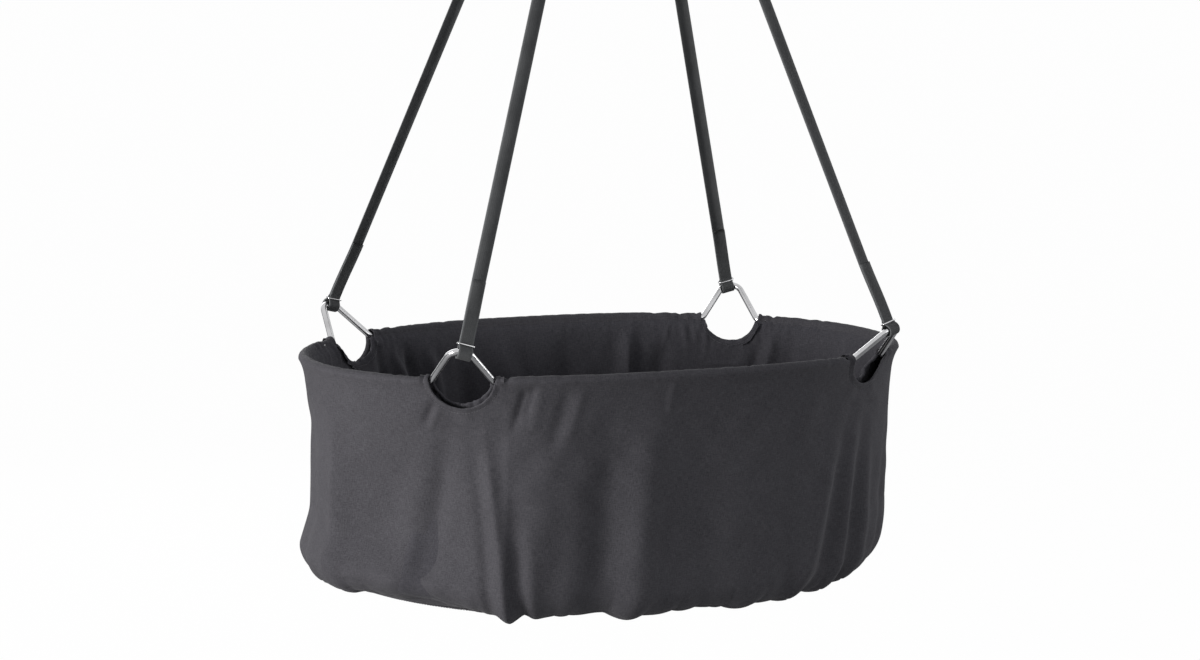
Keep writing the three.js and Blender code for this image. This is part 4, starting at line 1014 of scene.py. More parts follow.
def lining_push(run, level):
    """How far the lining stands out towards the outer cloth from its plain side view."""
    rng = np.random.default_rng(23)
    drop, down = level["drop"], level["down"]
    last = down.max()
    push = sum(fold(run, drop, *row) for row in LINING_FOLDS) + facet(run, drop, 0.7)
    settled = smoothstep(drop, 0.0, LINING_SETTLED)
    push = push + settled * waves(run, drop, rng, 7, longest=0.30, shortest=0.10, height=0.0013, lean=0.6)
    push = push + settled * waves(run, drop, rng, 9, longest=0.09, shortest=0.035, height=0.0005, lean=1.5)
    push = push + puckers(run, down, rng, spacing=0.0095, height=0.0032, reach_low=0.030, reach_high=0.085)
    push = push + around_cut_outs(run, drop, rng, drag=0.0010, radius=CUT_RADIUS)
    calm = 1 - smoothstep(down, last - LINING_CALM, last)
    return push * calm - LINING_STEP * smoothstep(down, 0, 0.01)


def floor_rings(reach, drop):
    """Rings of a floor: at its edge, down the slope to the flat, and over the flat to the middle."""
    turn = turn_of(RUNS)
    steps = np.linspace(0, FLOOR_REACH + HEM_RADIUS + reach, 12)
    rings = [bag_point(turn, reach - step, drop, 1.0) for step in steps]
    edge = rings[-1]
    for share in np.linspace(1, 0.02, 14)[1:]:
        ring = edge * [share, share, 1]
        ring[:, 2] = rim_height - drop + floor_rise(ring[:, 0])
        rings.append(ring)
    return rings


def outer_cloth(material):
    """The outer wall and its hems: one cloth, from inside the rod down to the seam under the bag."""
    points, quads, uvs = layer_grid(outer_rows(), outer_push, CUT_RADIUS + CUT_MARGIN)
    points, quads, uvs = turn_edges(points, quads, uvs, thickness=0.0020, lip=0.009)
    obj = add_cloth("outer_cloth", points, quads, uvs, material, "cradle")
    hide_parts("outer_wall", "hem_front", "hem_right", "hem_back", "hem_left")


def lining_cloth(material):
    """The lining's wall with its floor."""
    rows = lining_rows()
    points, quads, uvs = layer_grid(rows, lining_push, CUT_RADIUS)
    maps = uvs[-COLUMNS:]
    start = len(points)
    rings = floor_rings(rows["reach"][-1], rows["drop"][-1])[1:]
    ring_maps = [maps - [0, 0.012 * (i + 1)] for i in range(len(rings))]
    grid = np.arange(start - COLUMNS, start + len(rings) * COLUMNS).reshape(-1, COLUMNS)
    points = np.concatenate([points, *rings])
    uvs = np.concatenate([uvs, *ring_maps])
    quads = np.concatenate([quads, round_quads(grid).reshape(-1, 4)])[:, ::-1]
    points, quads, uvs = turn_edges(points, quads, uvs, thickness=0.0034, lip=0.009)
    obj = add_cloth("lining_cloth", points, quads, uvs, material, "cradle")
    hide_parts("lining")


def surface_of(rows, push_of):
    """A layer without its cut-outs: a function that gives its points and outward directions at any
    distance round the bag and down the cloth."""
    run, level = spread(rows)
    points = place_points(run, level, push_of(run, level))
    down = np.gradient(points, axis=0)
    normals = unit(np.cross(down, np.roll(points, -1, 1) - np.roll(points, 1, 1)))

    def at(where, distance):
        column = where / PERIMETER * COLUMNS % COLUMNS
        row = np.interp(distance, rows["down"], np.arange(len(rows["down"])))
        i, j = np.minimum(row.astype(int), len(points) - 2), column.astype(int) % COLUMNS
        a, b = (row - i)[..., None], (column - np.floor(column))[..., None]
        k = (j + 1) % COLUMNS
        return [(grid[i, j] * (1 - a) + grid[i + 1, j] * a) * (1 - b)
                + (grid[i, k] * (1 - a) + grid[i + 1, k] * a) * b for grid in (points, normals)]

    return at


def round_cut_out(at, rows, turn, out, around):
    """Points and normals of a layer at a distance from a lining hole's edge, at angles from its foot."""
    _, centre, along = cut_centre(turn)
    x = (CUT_RADIUS + out) * np.sin(around)
    z = -(CUT_RADIUS + out) * np.cos(around)
    first = int(np.argmax(rows["lean"] >= 0))
    run = run_of(turn) + x
    down = rows["down"][first] - rows["drop"][first] + CUT_DEPTH - CUT_RADIUS - z
    for _ in range(5):
        points, normals = at(run, down)
        run = run + x - (points - centre) @ along
        down = down - z + points[..., 2] - centre[2]
    return points, normals


def facing(name, at, rows, turn, material):
    """The strip sewn behind the outer cloth round a cut-out."""
    around = np.linspace(-FACING_REACH, FACING_REACH, 72)
    out = np.linspace(CUT_MARGIN + FACING_BACK, CUT_MARGIN + FACING_WIDTH, 6)
    around, out = np.meshgrid(around, out)
    points, normals = round_cut_out(at, rows, turn, out, around)
    points = points - normals * (CLOTH + 2 * GAP)
    grid = np.arange(points.size // 3).reshape(out.shape)
    quads = np.stack([grid[:-1, :-1], grid[1:, :-1], grid[1:, 1:], grid[:-1, 1:]], -1).reshape(-1, 4)
    uvs = np.stack([around * CUT_RADIUS, -out], -1).reshape(-1, 2)
    points, quads, uvs = turn_edges(points.reshape(-1, 3), quads, uvs, thickness=0.0009, lip=0.0025)
    obj = add_cloth(f"facing_{name}", points, quads, uvs, material, "cradle")
    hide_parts(f"cutout_facing_{name}")


STITCH_PITCH = 0.0034
THREAD_RADIUS = 0.00024
STITCH_SIDES = 6
STITCH_PLACES = np.array([0.08, 0.25, 0.62, 0.80])  # of a stitch's four rings, in shares of the pitch
STITCH_HEIGHTS = np.array([-0.9, 0.55, 0.55, -0.9])  # over the cloth, in thread radii


def stitches(name, lines, material):
    """Rows of short stitches along lines, each line its points and the directions out of its cloth."""
    points, faces = [], []
    sides, rings = STITCH_SIDES, len(STITCH_PLACES)
    start = 0
    for line, normals in lines:
        distance = run_along(line)
        count = int(distance[-1] / STITCH_PITCH)
        places = (np.arange(count)[:, None] + STITCH_PLACES) * STITCH_PITCH
        p = np.stack([np.interp(places, distance, line[:, k]) for k in range(3)], -1)
        n = unit(np.stack([np.interp(places, distance, normals[:, k]) for k in range(3)], -1))
        p = p + n * (STITCH_HEIGHTS * THREAD_RADIUS)[:, None]
        side = unit(np.cross(p[:, 3:] - p[:, :1], n))
        a = even_turns(sides)
        circle = np.cos(a)[:, None] * side[:, :, None] + np.sin(a)[:, None] * n[:, :, None]
        points.append((p[:, :, None] + circle * THREAD_RADIUS).reshape(-1, 3))
        for i in range(count):
            first = start + i * rings * sides
            for low in range(first, first + (rings - 1) * sides, sides):
                faces += [(low + k, low + (k + 1) % sides, low + sides + (k + 1) % sides, low + sides + k)
                          for k in range(sides)]
            last = first + (rings - 1) * sides
            faces += [tuple(range(first + sides - 1, first - 1, -1)), tuple(range(last, last + sides))]
        start += count * rings * sides
    add_mesh(name, np.concatenate(points), faces, material, "cradle")


def cut_out_stitches(name, at, rows, margin, material, lift=0.0):
    """The rows of stitches round all four cut-outs of a layer, on its outside or, below zero, inside."""
    end = FACING_REACH - 0.05
    around = np.linspace(-end, end, 160)
    lines = []
    for turn, _ in PEAKS.values():
        points, normals = round_cut_out(at, rows, turn, margin + STITCH_PLACE + 0 * around, around)
        lines.append((points + normals * lift, normals if lift >= 0 else -normals))
    stitches(name, lines, material)


def bottom_cloth(material):
    """The panel sewn under the bag, gathered a little along its edge."""
    rng = np.random.default_rng(31)
    points = np.array(floor_rings(PANEL_REACH, BAG_DEPTH))
    run = np.broadcast_to(RUNS, points.shape[:2])
    from_edge = np.linalg.norm(points[..., :2] - points[:1, :, :2], axis=-1)
    sag = gathers(run, from_edge, rng, least=0.016, most=0.040, height=0.0022,
                  reach_low=0.020, reach_high=0.060)
    sag = sag + PANEL_WAVE * np.sin(points[..., 0] * 31) * np.sin(points[..., 1] * 43 + 1)
    points[..., 2] -= sag * smoothstep(from_edge, 0, PANEL_EDGE)
    quads = round_quads(np.arange(run.size).reshape(run.shape)).reshape(-1, 4)
    uvs = points[..., :2].reshape(-1, 2)
    points, quads, uvs = turn_edges(points.reshape(-1, 3), quads, uvs, thickness=0.0014, lip=0.006)
    obj = add_cloth("bottom_cloth", points, quads, uvs, material, "cradle")
    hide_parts("bottom_panel")


def panel_stitches(material):
    """The row of stitches round the edge of the bottom panel."""
    runs = np.linspace(0, PERIMETER, 1600)
    line = bag_point(turn_of(runs), PANEL_REACH - PANEL_STITCH_PLACE, BAG_DEPTH + 0.0002, 1.0)
    stitches("panel_stitching", [(line, np.broadcast_to(-UP, line.shape))], material)


# Mattress

def mattress_rings(inset, sides=150):
    """Rings of the mattress from the middle of its underside, up its side, to the middle of its top."""
    turn = even_turns(sides)
    profile = [(MATTRESS_HALF_WIDTH * share, inset) for share in UNDERSIDE_SHARES]
    for a in np.linspace(0, math.pi, 9):
        share = 0.5 - 0.5 * math.cos(a)
        draw = MATTRESS_DRAW * (1 - math.sin(math.pi * share))
        profile.append((draw + inset, inset + (MATTRESS_HEIGHT - 2 * inset) * share))
    for share in TOP_SHARES:
        rise = MATTRESS_CROWN * math.sin(share ** CROWN_POWER * QUARTER)
        profile.append((MATTRESS_HALF_WIDTH * share, MATTRESS_HEIGHT - inset + rise))
    rings = []
    for draw, height in profile:
        level = oval(MATTRESS_HALF_LENGTH - draw, MATTRESS_HALF_WIDTH - draw, turn)
        squeezed = 1 - min(height / MATTRESS_HEIGHT, 1)
        z = mattress_base + height + bottom_rise(level[:, 0], MATTRESS_ROOM + draw) * squeezed
        rings.append(np.column_stack([level, z]))
    return np.array(rings)


# Settings of the cloth that the cover is filled with, and the frames that it runs
SWELL = {
    "quality": 5, "mass": 0.25, "tension_stiffness": 18, "compression_stiffness": 12,
    "shear_stiffness": 6, "bending_stiffness": 0.4, "use_pressure": True,
}
SWELL_FRAMES = 20
HELD_HEIGHT = 0.0035  # the cover is held up to here over its base


def of_vertices(mesh, field):
    """A vector of each vertex of a mesh."""
    values = np.empty(len(mesh.vertices) * 3, np.float32)
    mesh.vertices.foreach_get(field, values)
    return values.reshape(-1, 3)


def swell(obj, voxel, pressure, cap, held_below):
    """Fills a closed cover: a short cloth simulation, with its moves capped, put into the mesh."""
    bpy.context.view_layer.objects.active = obj
    remesh = obj.modifiers.new("remesh", "REMESH")
    remesh.mode = "VOXEL"
    remesh.voxel_size = voxel
    with bpy.context.temp_override(object=obj, active_object=obj):
        bpy.ops.object.modifier_apply(modifier=remesh.name)
    before = of_vertices(obj.data, "co").astype(float)
    low = before[:, 2] - bottom_rise(before[:, 0], MATTRESS_ROOM + MATTRESS_DRAW)
    held = obj.vertex_groups.new(name="held")
    held.add(np.flatnonzero(low < held_below).tolist(), 1.0, "REPLACE")
    modifier = obj.modifiers.new("swell", "CLOTH")
    settings = modifier.settings
    for key, value in SWELL.items():
        setattr(settings, key, value)
    settings.uniform_pressure_force = pressure
    settings.effector_weights.gravity = 0
    settings.vertex_group_mass = held.name
    scene = bpy.context.scene
    for number in range(1, SWELL_FRAMES + 1):
        scene.frame_set(number)
    after = of_vertices(obj.evaluated_get(bpy.context.evaluated_depsgraph_get()).data, "co")
    normal = of_vertices(obj.data, "normal")
    move = after - before
    move -= normal * np.minimum((move * normal).sum(axis=1, keepdims=True), 0)
    length = np.linalg.norm(move, axis=1, keepdims=True)
    move = move * np.minimum(1, cap / np.maximum(length, 1e-9))
    obj.modifiers.remove(modifier)
    scene.frame_set(1)
    obj.data.vertices.foreach_set("co", (before + move).astype(np.float32).ravel())
    obj.data.update()


def mattress_foam(material):
    """The foam core: the mattress's own form, a few millimetres inside its cover."""
    obj = add_mesh("mattress_foam", *skin(mattress_rings(FOAM_INSET)), material, "mattress")
    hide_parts("mattress_core")


def mattress_pad(material):
    """The covered mattress, filled."""
    points, faces = skin(mattress_rings(COVER_INSET))
    mesh = bpy.data.meshes.new("mattress_pad")
    mesh.from_pydata(points.tolist(), [], faces)
    obj = in_scene("mattress_pad", mesh)
    swell(obj, voxel=0.006, pressure=4.0, cap=0.006, held_below=mattress_base + HELD_HEIGHT)
    mesh = obj.data
    mesh.polygons.foreach_set("use_smooth", [True] * len(mesh.polygons))
    mesh.materials.append(material)
    smooth = obj.modifiers.new("smooth", "SUBSURF")
    smooth.levels = smooth.render_levels = 1
    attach(obj, "mattress")
    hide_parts("mattress_cover", "mattress_underside")


def mattress_piping(name, height, material):
    """The piping of a seam of the mattress, at its height."""
    out = -PIPING_SEAT - MATTRESS_DRAW
    level = oval(MATTRESS_HALF_LENGTH + out, MATTRESS_HALF_WIDTH + out, even_turns(220))
    rise = bottom_rise(level[:, 0], MATTRESS_ROOM - out) * (1 - height / MATTRESS_HEIGHT)
    path = np.column_stack([level, mattress_base + height + rise])
    add_mesh(f"mattress_piping_{name}", *closed_tube(path, PIPING_RADIUS, 10, UP), material, "mattress")


# Hanger

def lathe(profile, start, axis, sides=36):
    """Points and faces of a turned piece: (radius, distance) rows along an axis from a start."""
    axis = unit(axis)
    across = unit(np.cross(BACK if abs(axis[1]) < 0.9 else [1.0, 0.0, 0.0], axis))
    over = np.cross(axis, across)
    turn = even_turns(sides)[:, None]
    circle = np.cos(turn) * across + np.sin(turn) * over
    return skin([np.asarray(start) + axis * height + circle * radius for radius, height in profile])


def joined(*parts):
    """Several closed bodies as one mesh."""
    points, faces, count = [], [], 0
    for some, theirs in parts:
        points.append(np.asarray(some))
        faces += [tuple(i + count for i in face) for face in theirs]
        count += len(some)
    return np.concatenate(points), faces


def rounded_rod(radius, low, high, edge):
    """Profile of a rod with rounded edges."""
    arc = [(radius - edge * (1 - math.sin(a)), low + edge * (1 - math.cos(a)))
           for a in np.linspace(0, QUARTER, 5)]
    return arc + [(r, high + low - h) for r, h in reversed(arc)]


HOOK_FOOT = np.array([0, 0, -HOOK_HEIGHT])  # the middle of the hook's boss


def in_hook(x, z):
    """A place in the hook's plane, from the middle of its boss."""
    return np.array([x, 0.0, z - HOOK_HEIGHT])


def link_wire(material):
    """The wire triangle that gathers the straps."""
    low = np.array([0, 0, bar_height])
    corners = [
        (low + [-LINK_HALF_BASE, 0, 0], LINK_CORNER), (low + [LINK_HALF_BASE, 0, 0], LINK_CORNER),
        (low + [0, 0, LINK_TIP_HEIGHT], LINK_CLEAR),
    ]
    path = rounded_path(corners, closed=True)
    link = add_mesh("link_wire", *closed_tube(path, LINK_WIRE, 24, BACK), material, "link")
    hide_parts("strap_link")


def eye_forging(material):
    """The swivel eye: its ring, and its stem that runs up through the hook's boss to a round head."""
    middle = -BOSS_HEIGHT / 2 - STEM_REACH - EYE_WIRE - EYE_RADIUS
    turn = even_turns(72)
    ring = np.column_stack([0 * turn, EYE_RADIUS * np.cos(turn), middle + EYE_RADIUS * np.sin(turn)])
    head = BOSS_HEIGHT / 2 + GAP
    foot = middle + EYE_RADIUS
    stem = [(STEM_RADIUS + more, foot + height) for more, height in STEM_FLARE]
    stem.append((STEM_RADIUS, head + STEM_END))
    eye_parts = joined(
        closed_tube(HOOK_FOOT + ring, EYE_WIRE, 24, [1, 0, 0]),
        lathe(stem, HOOK_FOOT, UP),
        lathe(rounded_rod(STEM_HEAD_RADIUS, head, head + STEM_HEAD_HEIGHT, HEAD_EDGE), HOOK_FOOT, UP),
    )
    eye = add_mesh("eye_forging", *eye_parts, material, "eye")
    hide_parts("swivel_eye")


def hook_rod():
    """The hook's bent rod, from its nose over the seat and round its foot to under the gate."""
    bend = HOOK_HEIGHT - HOOK_SEAT_RADIUS
    arc = [(in_hook(HOOK_REACH * math.cos(a), bend + HOOK_REACH * math.sin(a)), 0)
           for a in np.linspace(0, math.pi, 37)]
    path = rounded_path([
        (in_hook(HOOK_REACH, bend - HOOK_NOSE_DROP), 0),
        *arc,
        (in_hook(-HOOK_REACH, 0), HOOK_CORNER),
        (in_hook(HOOK_REACH, 0), HOOK_CORNER),
        (in_hook(HOOK_REACH, PIVOT_RISE - GATE_RADIUS - GAP - GATE_ROOM), 0),
    ], math.radians(5))
    eased = np.vstack([path[:1], path[:1] + (path[1] - path[0]) * 0.35, path[1:-1],
                       path[-1:] + (path[-2] - path[-1]) * 0.2, path[-1:]])
    thick = np.full(len(eased), HOOK_ROD)
    thick[0] = thick[-1] = HOOK_ROD * HOOK_END
    return skin(tube_rings(eased, thick, 28, BACK))


def hook_ear():
    """The flat ear on the rod's lower end, round at its top, that holds the gate's rivet."""
    half, width = EAR_THICKNESS / 2, GATE_RADIUS - GAP
    rise = PIVOT_RISE - HOOK_CORNER
    outline = [(-width, 0), (width, 0)]
    outline += [(width * math.cos(a), rise + width * math.sin(a)) for a in np.linspace(0, math.pi, 25)]
    foot = in_hook(HOOK_REACH, HOOK_CORNER)
    points = np.array([foot + [x, y, z] for y in (-half, half) for x, z in outline])
    count = len(outline)
    faces = [tuple(range(count)), tuple(range(2 * count - 1, count - 1, -1))]
    faces += [(i, i + count, (i + 1) % count + count, (i + 1) % count) for i in range(count)]
    return points, faces


def hook_forging(material):
    """The snap hook's body: rod, boss and ear."""
    boss = rounded_rod(BOSS_RADIUS, -BOSS_HEIGHT / 2, BOSS_HEIGHT / 2, BOSS_EDGE)
    hook_parts = joined(hook_rod(), lathe(boss, HOOK_FOOT, UP, 48), hook_ear())
    hook = add_mesh("hook_forging", *hook_parts, material, "hook")
    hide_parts("hook_body")
    edges = hook.modifiers.new("edges", "EDGE_SPLIT")
    edges.split_angle = math.radians(50)


def gate_parts(material):
    """The gate's rivet, its plunger and the coiled spring on that."""
    half = GATE_RADIUS + GAP + RIVET_HEAD_HEIGHT
    share, depth = RIVET_SHOULDER
    domed = [
        (RIVET_FLAT, 0), (RIVET_HEAD_RADIUS * share, depth), (RIVET_HEAD_RADIUS, RIVET_HEAD_HEIGHT * 0.8),
        (RIVET_HEAD_RADIUS, RIVET_HEAD_HEIGHT), (RIVET_RADIUS, RIVET_HEAD_HEIGHT),
    ]
    profile = domed + [(r, 2 * half - h) for r, h in reversed(domed)]
    turned_rivet = lathe(profile, in_hook(HOOK_REACH, PIVOT_RISE) - BACK * half, BACK, 32)
    rivet = add_mesh("rivet_turned", *turned_rivet, material, "gate")
    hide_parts("gate_rivet")

    low = PIVOT_RISE + GATE_RADIUS + GAP
    rod = rounded_rod(PLUNGER_RADIUS, low, low + PLUNGER_REACH, PLUNGER_EDGE)
    plunger = add_mesh("plunger_turned", *lathe(rod, in_hook(HOOK_REACH, 0), UP), material, "gate")
    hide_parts("gate_plunger")

    a = np.linspace(0, SPRING_COILS * TURN, SPRING_COILS * 20 + 1)
    rise = np.linspace(SPRING_WIRE, SPRING_LENGTH - SPRING_WIRE, len(a))
    radius = PLUNGER_RADIUS - SPRING_WIRE
    coil = np.column_stack([radius * np.cos(a), radius * np.sin(a), rise])
    coil = in_hook(HOOK_REACH, low + PLUNGER_REACH + GAP) + coil
    spring = add_mesh("spring_coil", *skin(tube_rings(coil, SPRING_WIRE, 8, UP)), material, "gate")
    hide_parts("gate_spring")


# Materials

class Nodes:
    """The node tree of a material or a world, with short ways to add nodes to it."""

    def __init__(self, owner):
        owner.use_nodes = True
        self.tree = owner.node_tree

    def feed(self, node, inputs):
        """Gives inputs of a node their values, or links them to other nodes' outputs."""
        for key, value in inputs.items():
            if isinstance(value, bpy.types.NodeSocket):
                self.tree.links.new(value, node.inputs[key])
            else:
                node.inputs[key].default_value = value

    def add(self, kind, inputs=None, **settings):
        """A new node with its inputs and settings."""
        new = self.tree.nodes.new(kind)
        for key, value in settings.items():
            setattr(new, key, value)
        self.feed(new, inputs or {})
        return new

    def place(self):
        """The place on the object, in metres."""
        return self.add("ShaderNodeTexCoord").outputs["Object"]

    def cloth_map(self):
        """The place on the cloth's own map, in metres."""
        return self.add("ShaderNodeUVMap", uv_map="cloth").outputs["UV"]

    def math(self, operation, *values):
        """The result of a sum of one to three values."""
        return self.add("ShaderNodeMath", dict(enumerate(values)), operation=operation).outputs[0]

    def total(self, *parts):
        """Values added up, each times its weight."""
        (value, weight), *others = parts
        result = self.math("MULTIPLY", value, weight)
        for value, weight in others:
            result = self.math("MULTIPLY_ADD", value, weight, result)
        return result

    def noise(self, vector, scale, detail, rough=0.5, stretch=None):
        """Noise over a place, which can be stretched first."""
        if stretch:
            vector = self.add("ShaderNodeMapping", {"Vector": vector, "Scale": stretch}).outputs[0]
        inputs = {"Vector": vector, "Scale": scale, "Detail": detail, "Roughness": rough}
        return self.add("ShaderNodeTexNoise", inputs).outputs["Fac"]

    def ramp(self, value, *stops):
        """A colour ramp over a value: (place, colour) stops, where a single number is a grey."""
        new = self.add("ShaderNodeValToRGB", {"Fac": value})
        while len(new.color_ramp.elements) < len(stops):
            new.color_ramp.elements.new(0.5)
        for element, (place, colour) in zip(new.color_ramp.elements, stops):
            element.position = place
            element.color = (*(colour if isinstance(colour, tuple) else (colour,) * 3), 1)
        return new.outputs["Color"]

    def bump(self, height, strength, distance, **over):
        """A bumped normal from a height, over another normal if one is given."""
        inputs = {"Height": height, "Strength": strength, "Distance": distance, **over}
        return self.add("ShaderNodeBump", inputs).outputs["Normal"]


def new_material(name):
    """An empty node material, its nodes and its shader."""
    made = bpy.data.materials.new(name)
    use = Nodes(made)
    return made, use, use.tree.nodes["Principled BSDF"]


def cloth_material(name, dark, light, pitch=0.0007, mapped=True):
    """Plain-woven cotton: threads both ways, slubs, and soft mottling. The threads follow the cloth's
    own map, or lie level where it has none."""
    made, use, shader = new_material(name)
    place = use.place()
    uv = use.cloth_map() if mapped else place
    axes = use.add("ShaderNodeSeparateXYZ", {0: uv})
    warp = use.math("SINE", use.math("MULTIPLY", axes.outputs["X"], math.pi / pitch))
    weft = use.math("SINE", use.math("MULTIPLY", axes.outputs["Y"], math.pi / pitch))
    weave = use.math("MULTIPLY", warp, weft)
    along = use.noise(uv, 1, 2, 0.6, stretch=(1100, 130, 1))
    over = use.noise(uv, 1, 2, 0.6, stretch=(130, 1100, 1))
    slub = use.math("ADD", along, over)
    speck = use.noise(place, 760, 3, 0.7)
    mottle = use.noise(place, 38, 5, 0.62)
    broad = use.noise(place, 9, 3)
    tone = use.total((speck, 0.40), (slub, 0.42), (mottle, 0.14), (broad, 0.12), (weave, 0.03))
    height = use.total((slub, 0.8), (weave, 0.5), (speck, 0.8))
    fine = use.bump(height, 0.35, 0.0003)
    creased = use.noise(place, 55, 4, 0.55)
    use.feed(shader, {
        "Base Color": use.ramp(tone, (0.56, dark), (0.99, light)),
        "Roughness": use.ramp(mottle, (0.3, 0.82), (0.7, 0.95)),
        "Normal": use.bump(creased, 0.25, 0.0016, Normal=fine),
        "Specular IOR Level": 0.07,
        "Sheen Weight": 0.06,
        "Sheen Roughness": 0.45,
    })
    return made


def webbing_material(name):
    """Woven polyester webbing: a herringbone of ribs across it, drawn lighter towards both edges."""
    made, use, shader = new_material(name)
    place = use.place()
    axes = use.add("ShaderNodeSeparateXYZ", {0: use.cloth_map()})
    side = use.math("ABSOLUTE", axes.outputs["X"])
    rib = use.math("SINE", use.math("MULTIPLY", axes.outputs["X"], TURN / 0.0021))
    zigzag = use.math("MULTIPLY_ADD", rib, 0.0005, axes.outputs["Y"])
    pick = use.math("SINE", use.math("MULTIPLY", zigzag, TURN / 0.0013))
    speck = use.noise(place, 900, 2)
    broad = use.noise(place, 26, 3)
    # The colour grows lighter towards both edges of the strap.
    lighter_edges = use.add("ShaderNodeMapRange", {"Value": side, "From Min": 0.0062, "From Max": 0.0083,
                                              "To Min": 0.0, "To Max": 0.42}).outputs[0]
    tone = use.math("ADD", use.total((speck, 0.5), (pick, 0.12), (broad, 0.35)), lighter_edges)
    colour = use.ramp(tone, (0.18, (0.028, 0.029, 0.030)), (0.62, (0.076, 0.078, 0.080)),
                      (0.95, (0.125, 0.130, 0.133)))
    use.feed(shader, {
        "Base Color": colour,
        "Roughness": use.ramp(speck, (0.3, 0.55), (0.7, 0.75)),
        "Normal": use.bump(use.total((pick, 0.6), (rib, 0.35)), 0.6, 0.00022),
        "Sheen Weight": 0.03,
        "Specular IOR Level": 0.14,
    })
    return made


def steel_material(name, colour, low, high):
    """Satin steel with fine scratches and slightly uneven gloss, between two roughnesses."""
    made, use, shader = new_material(name)
    place = use.place()
    fine = use.noise(place, 900, 3)
    cloudy = use.noise(place, 45, 3)
    darker = tuple(c * 0.82 for c in colour)
    mixed = use.math("MULTIPLY_ADD", fine, 0.5, cloudy)
    use.feed(shader, {
        "Base Color": use.ramp(cloudy, (0.35, darker), (0.65, colour)),
        "Roughness": use.ramp(mixed, (0.5, low), (1.0, high)),
        "Normal": use.bump(fine, 0.12, 0.0002),
        "Metallic": 1.0,
    })
    return made


def board_material(name):
    """Plywood: long fibres and specks."""
    made, use, shader = new_material(name)
    place = use.place()
    fibre = use.noise(place, 1, 5, 0.7, stretch=(60, 420, 900))
    speck = use.noise(place, 600, 2)
    tone = use.math("MULTIPLY_ADD", speck, 0.4, fibre)
    use.feed(shader, {
        "Base Color": use.ramp(tone, (0.45, (0.20, 0.13, 0.07)), (0.85, (0.42, 0.30, 0.18))),
        "Roughness": use.ramp(speck, (0.3, 0.55), (0.7, 0.8)),
        "Normal": use.bump(fibre, 0.4, 0.0003),
    })
    return made


def foam_material(name):
    """Open-celled foam."""
    made, use, shader = new_material(name)
    place = use.place()
    cells = use.add("ShaderNodeTexVoronoi", {"Vector": place, "Scale": 900}).outputs["Distance"]
    cloudy = use.noise(place, 30, 4)
    tone = use.math("MULTIPLY_ADD", cells, 0.6, cloudy)
    use.feed(shader, {
        "Base Color": use.ramp(tone, (0.35, (0.55, 0.50, 0.36)), (0.95, (0.80, 0.76, 0.60))),
        "Roughness": use.ramp(cloudy, (0.3, 0.85), (0.7, 0.97)),
        "Normal": use.bump(cells, 0.7, 0.0004),
    })
    return made


CLOTH_DARK = (0.033, 0.0315, 0.036)
CLOTH_LIGHT = (0.083, 0.081, 0.089)
# The lining's two colours are the bag cloth's made about a tenth darker: painted shade for the inside of the
# bag.
LINING_SHADED_DARK = (0.030, 0.029, 0.034)
LINING_SHADED_LIGHT = (0.076, 0.074, 0.083)
cloth = cloth_material("bag_cloth", CLOTH_DARK, CLOTH_LIGHT)
shaded_lining_cloth = cloth_material("lining_cloth", LINING_SHADED_DARK, LINING_SHADED_LIGHT)
webbing = webbing_material("webbing")
steel = steel_material("rim_steel", (0.58, 0.58, 0.59), 0.09, 0.20)
dark_steel = steel_material("dark_steel", (0.30, 0.30, 0.31), 0.28, 0.45)
thread = cloth_material("thread", (0.075, 0.074, 0.080), (0.150, 0.148, 0.158), pitch=0.0003, mapped=False)
cover = cloth_material("mattress_cover", (0.50, 0.48, 0.45), (0.68, 0.66, 0.62), mapped=False)
piping = cloth_material("mattress_piping", (0.44, 0.42, 0.39), (0.60, 0.58, 0.54), pitch=0.0005, mapped=False)
board = board_material("base_board")
foam = foam_material("foam")

for half in (1, -1):
    rim_half(half, steel)
for strap_name, (peak_turn, bar_place) in PEAKS.items():
    strap(strap_name, peak_turn, bar_place, webbing)
    keeper(strap_name, peak_turn, bar_place, steel)
outer_cloth(cloth)
lining_cloth(shaded_lining_cloth)
bottom_cloth(cloth)
outer_side, lining_side = outer_rows(), lining_rows()
outer_at = surface_of(outer_side, outer_push)
lining_at = surface_of(lining_side, lining_push)
for strap_name, (peak_turn, _) in PEAKS.items():
    facing(strap_name, outer_at, outer_side, peak_turn, cloth)
cut_out_stitches("cutout_stitching", outer_at, outer_side, CUT_MARGIN, thread)
cut_out_stitches("lining_stitching", lining_at, lining_side, 0, thread, lift=LINING_STITCH_LIFT)
panel_stitches(thread)
mattress_foam(foam)
mattress_pad(cover)
mattress_piping("lower", PIPING_LOWER, piping)
mattress_piping("upper", PIPING_UPPER, piping)
link_wire(steel)
eye_forging(steel)
hook_forging(steel)
gate_parts(dark_steel)
for node_name, material in {
    "base_board": board, "hook_gate": steel,
    "rim_sleeve_front": dark_steel, "rim_sleeve_back": dark_steel,
    "joint_pin_front_right": dark_steel, "joint_pin_front_left": dark_steel,
    "joint_pin_back_right": dark_steel, "joint_pin_back_left": dark_steel,
}.items():
    kept = nodes[node_name]
    kept.data.materials.clear()
    kept.data.materials.append(material)


# Camera, at the photograph's place and angle

IMAGE_WIDTH = 1200
FOCAL_PIXELS = 2981.0
SENSOR = 36.0  # millimetres
YAW = math.radians(-26.49)  # of the camera's place round the cradle, and its height over the rim
ELEVATION = math.radians(8.76)
DISTANCE = 3.749
PAN = math.radians(0.12)  # of the camera on its own place
PITCH = math.radians(8.41)
ROLL = math.radians(1.09)


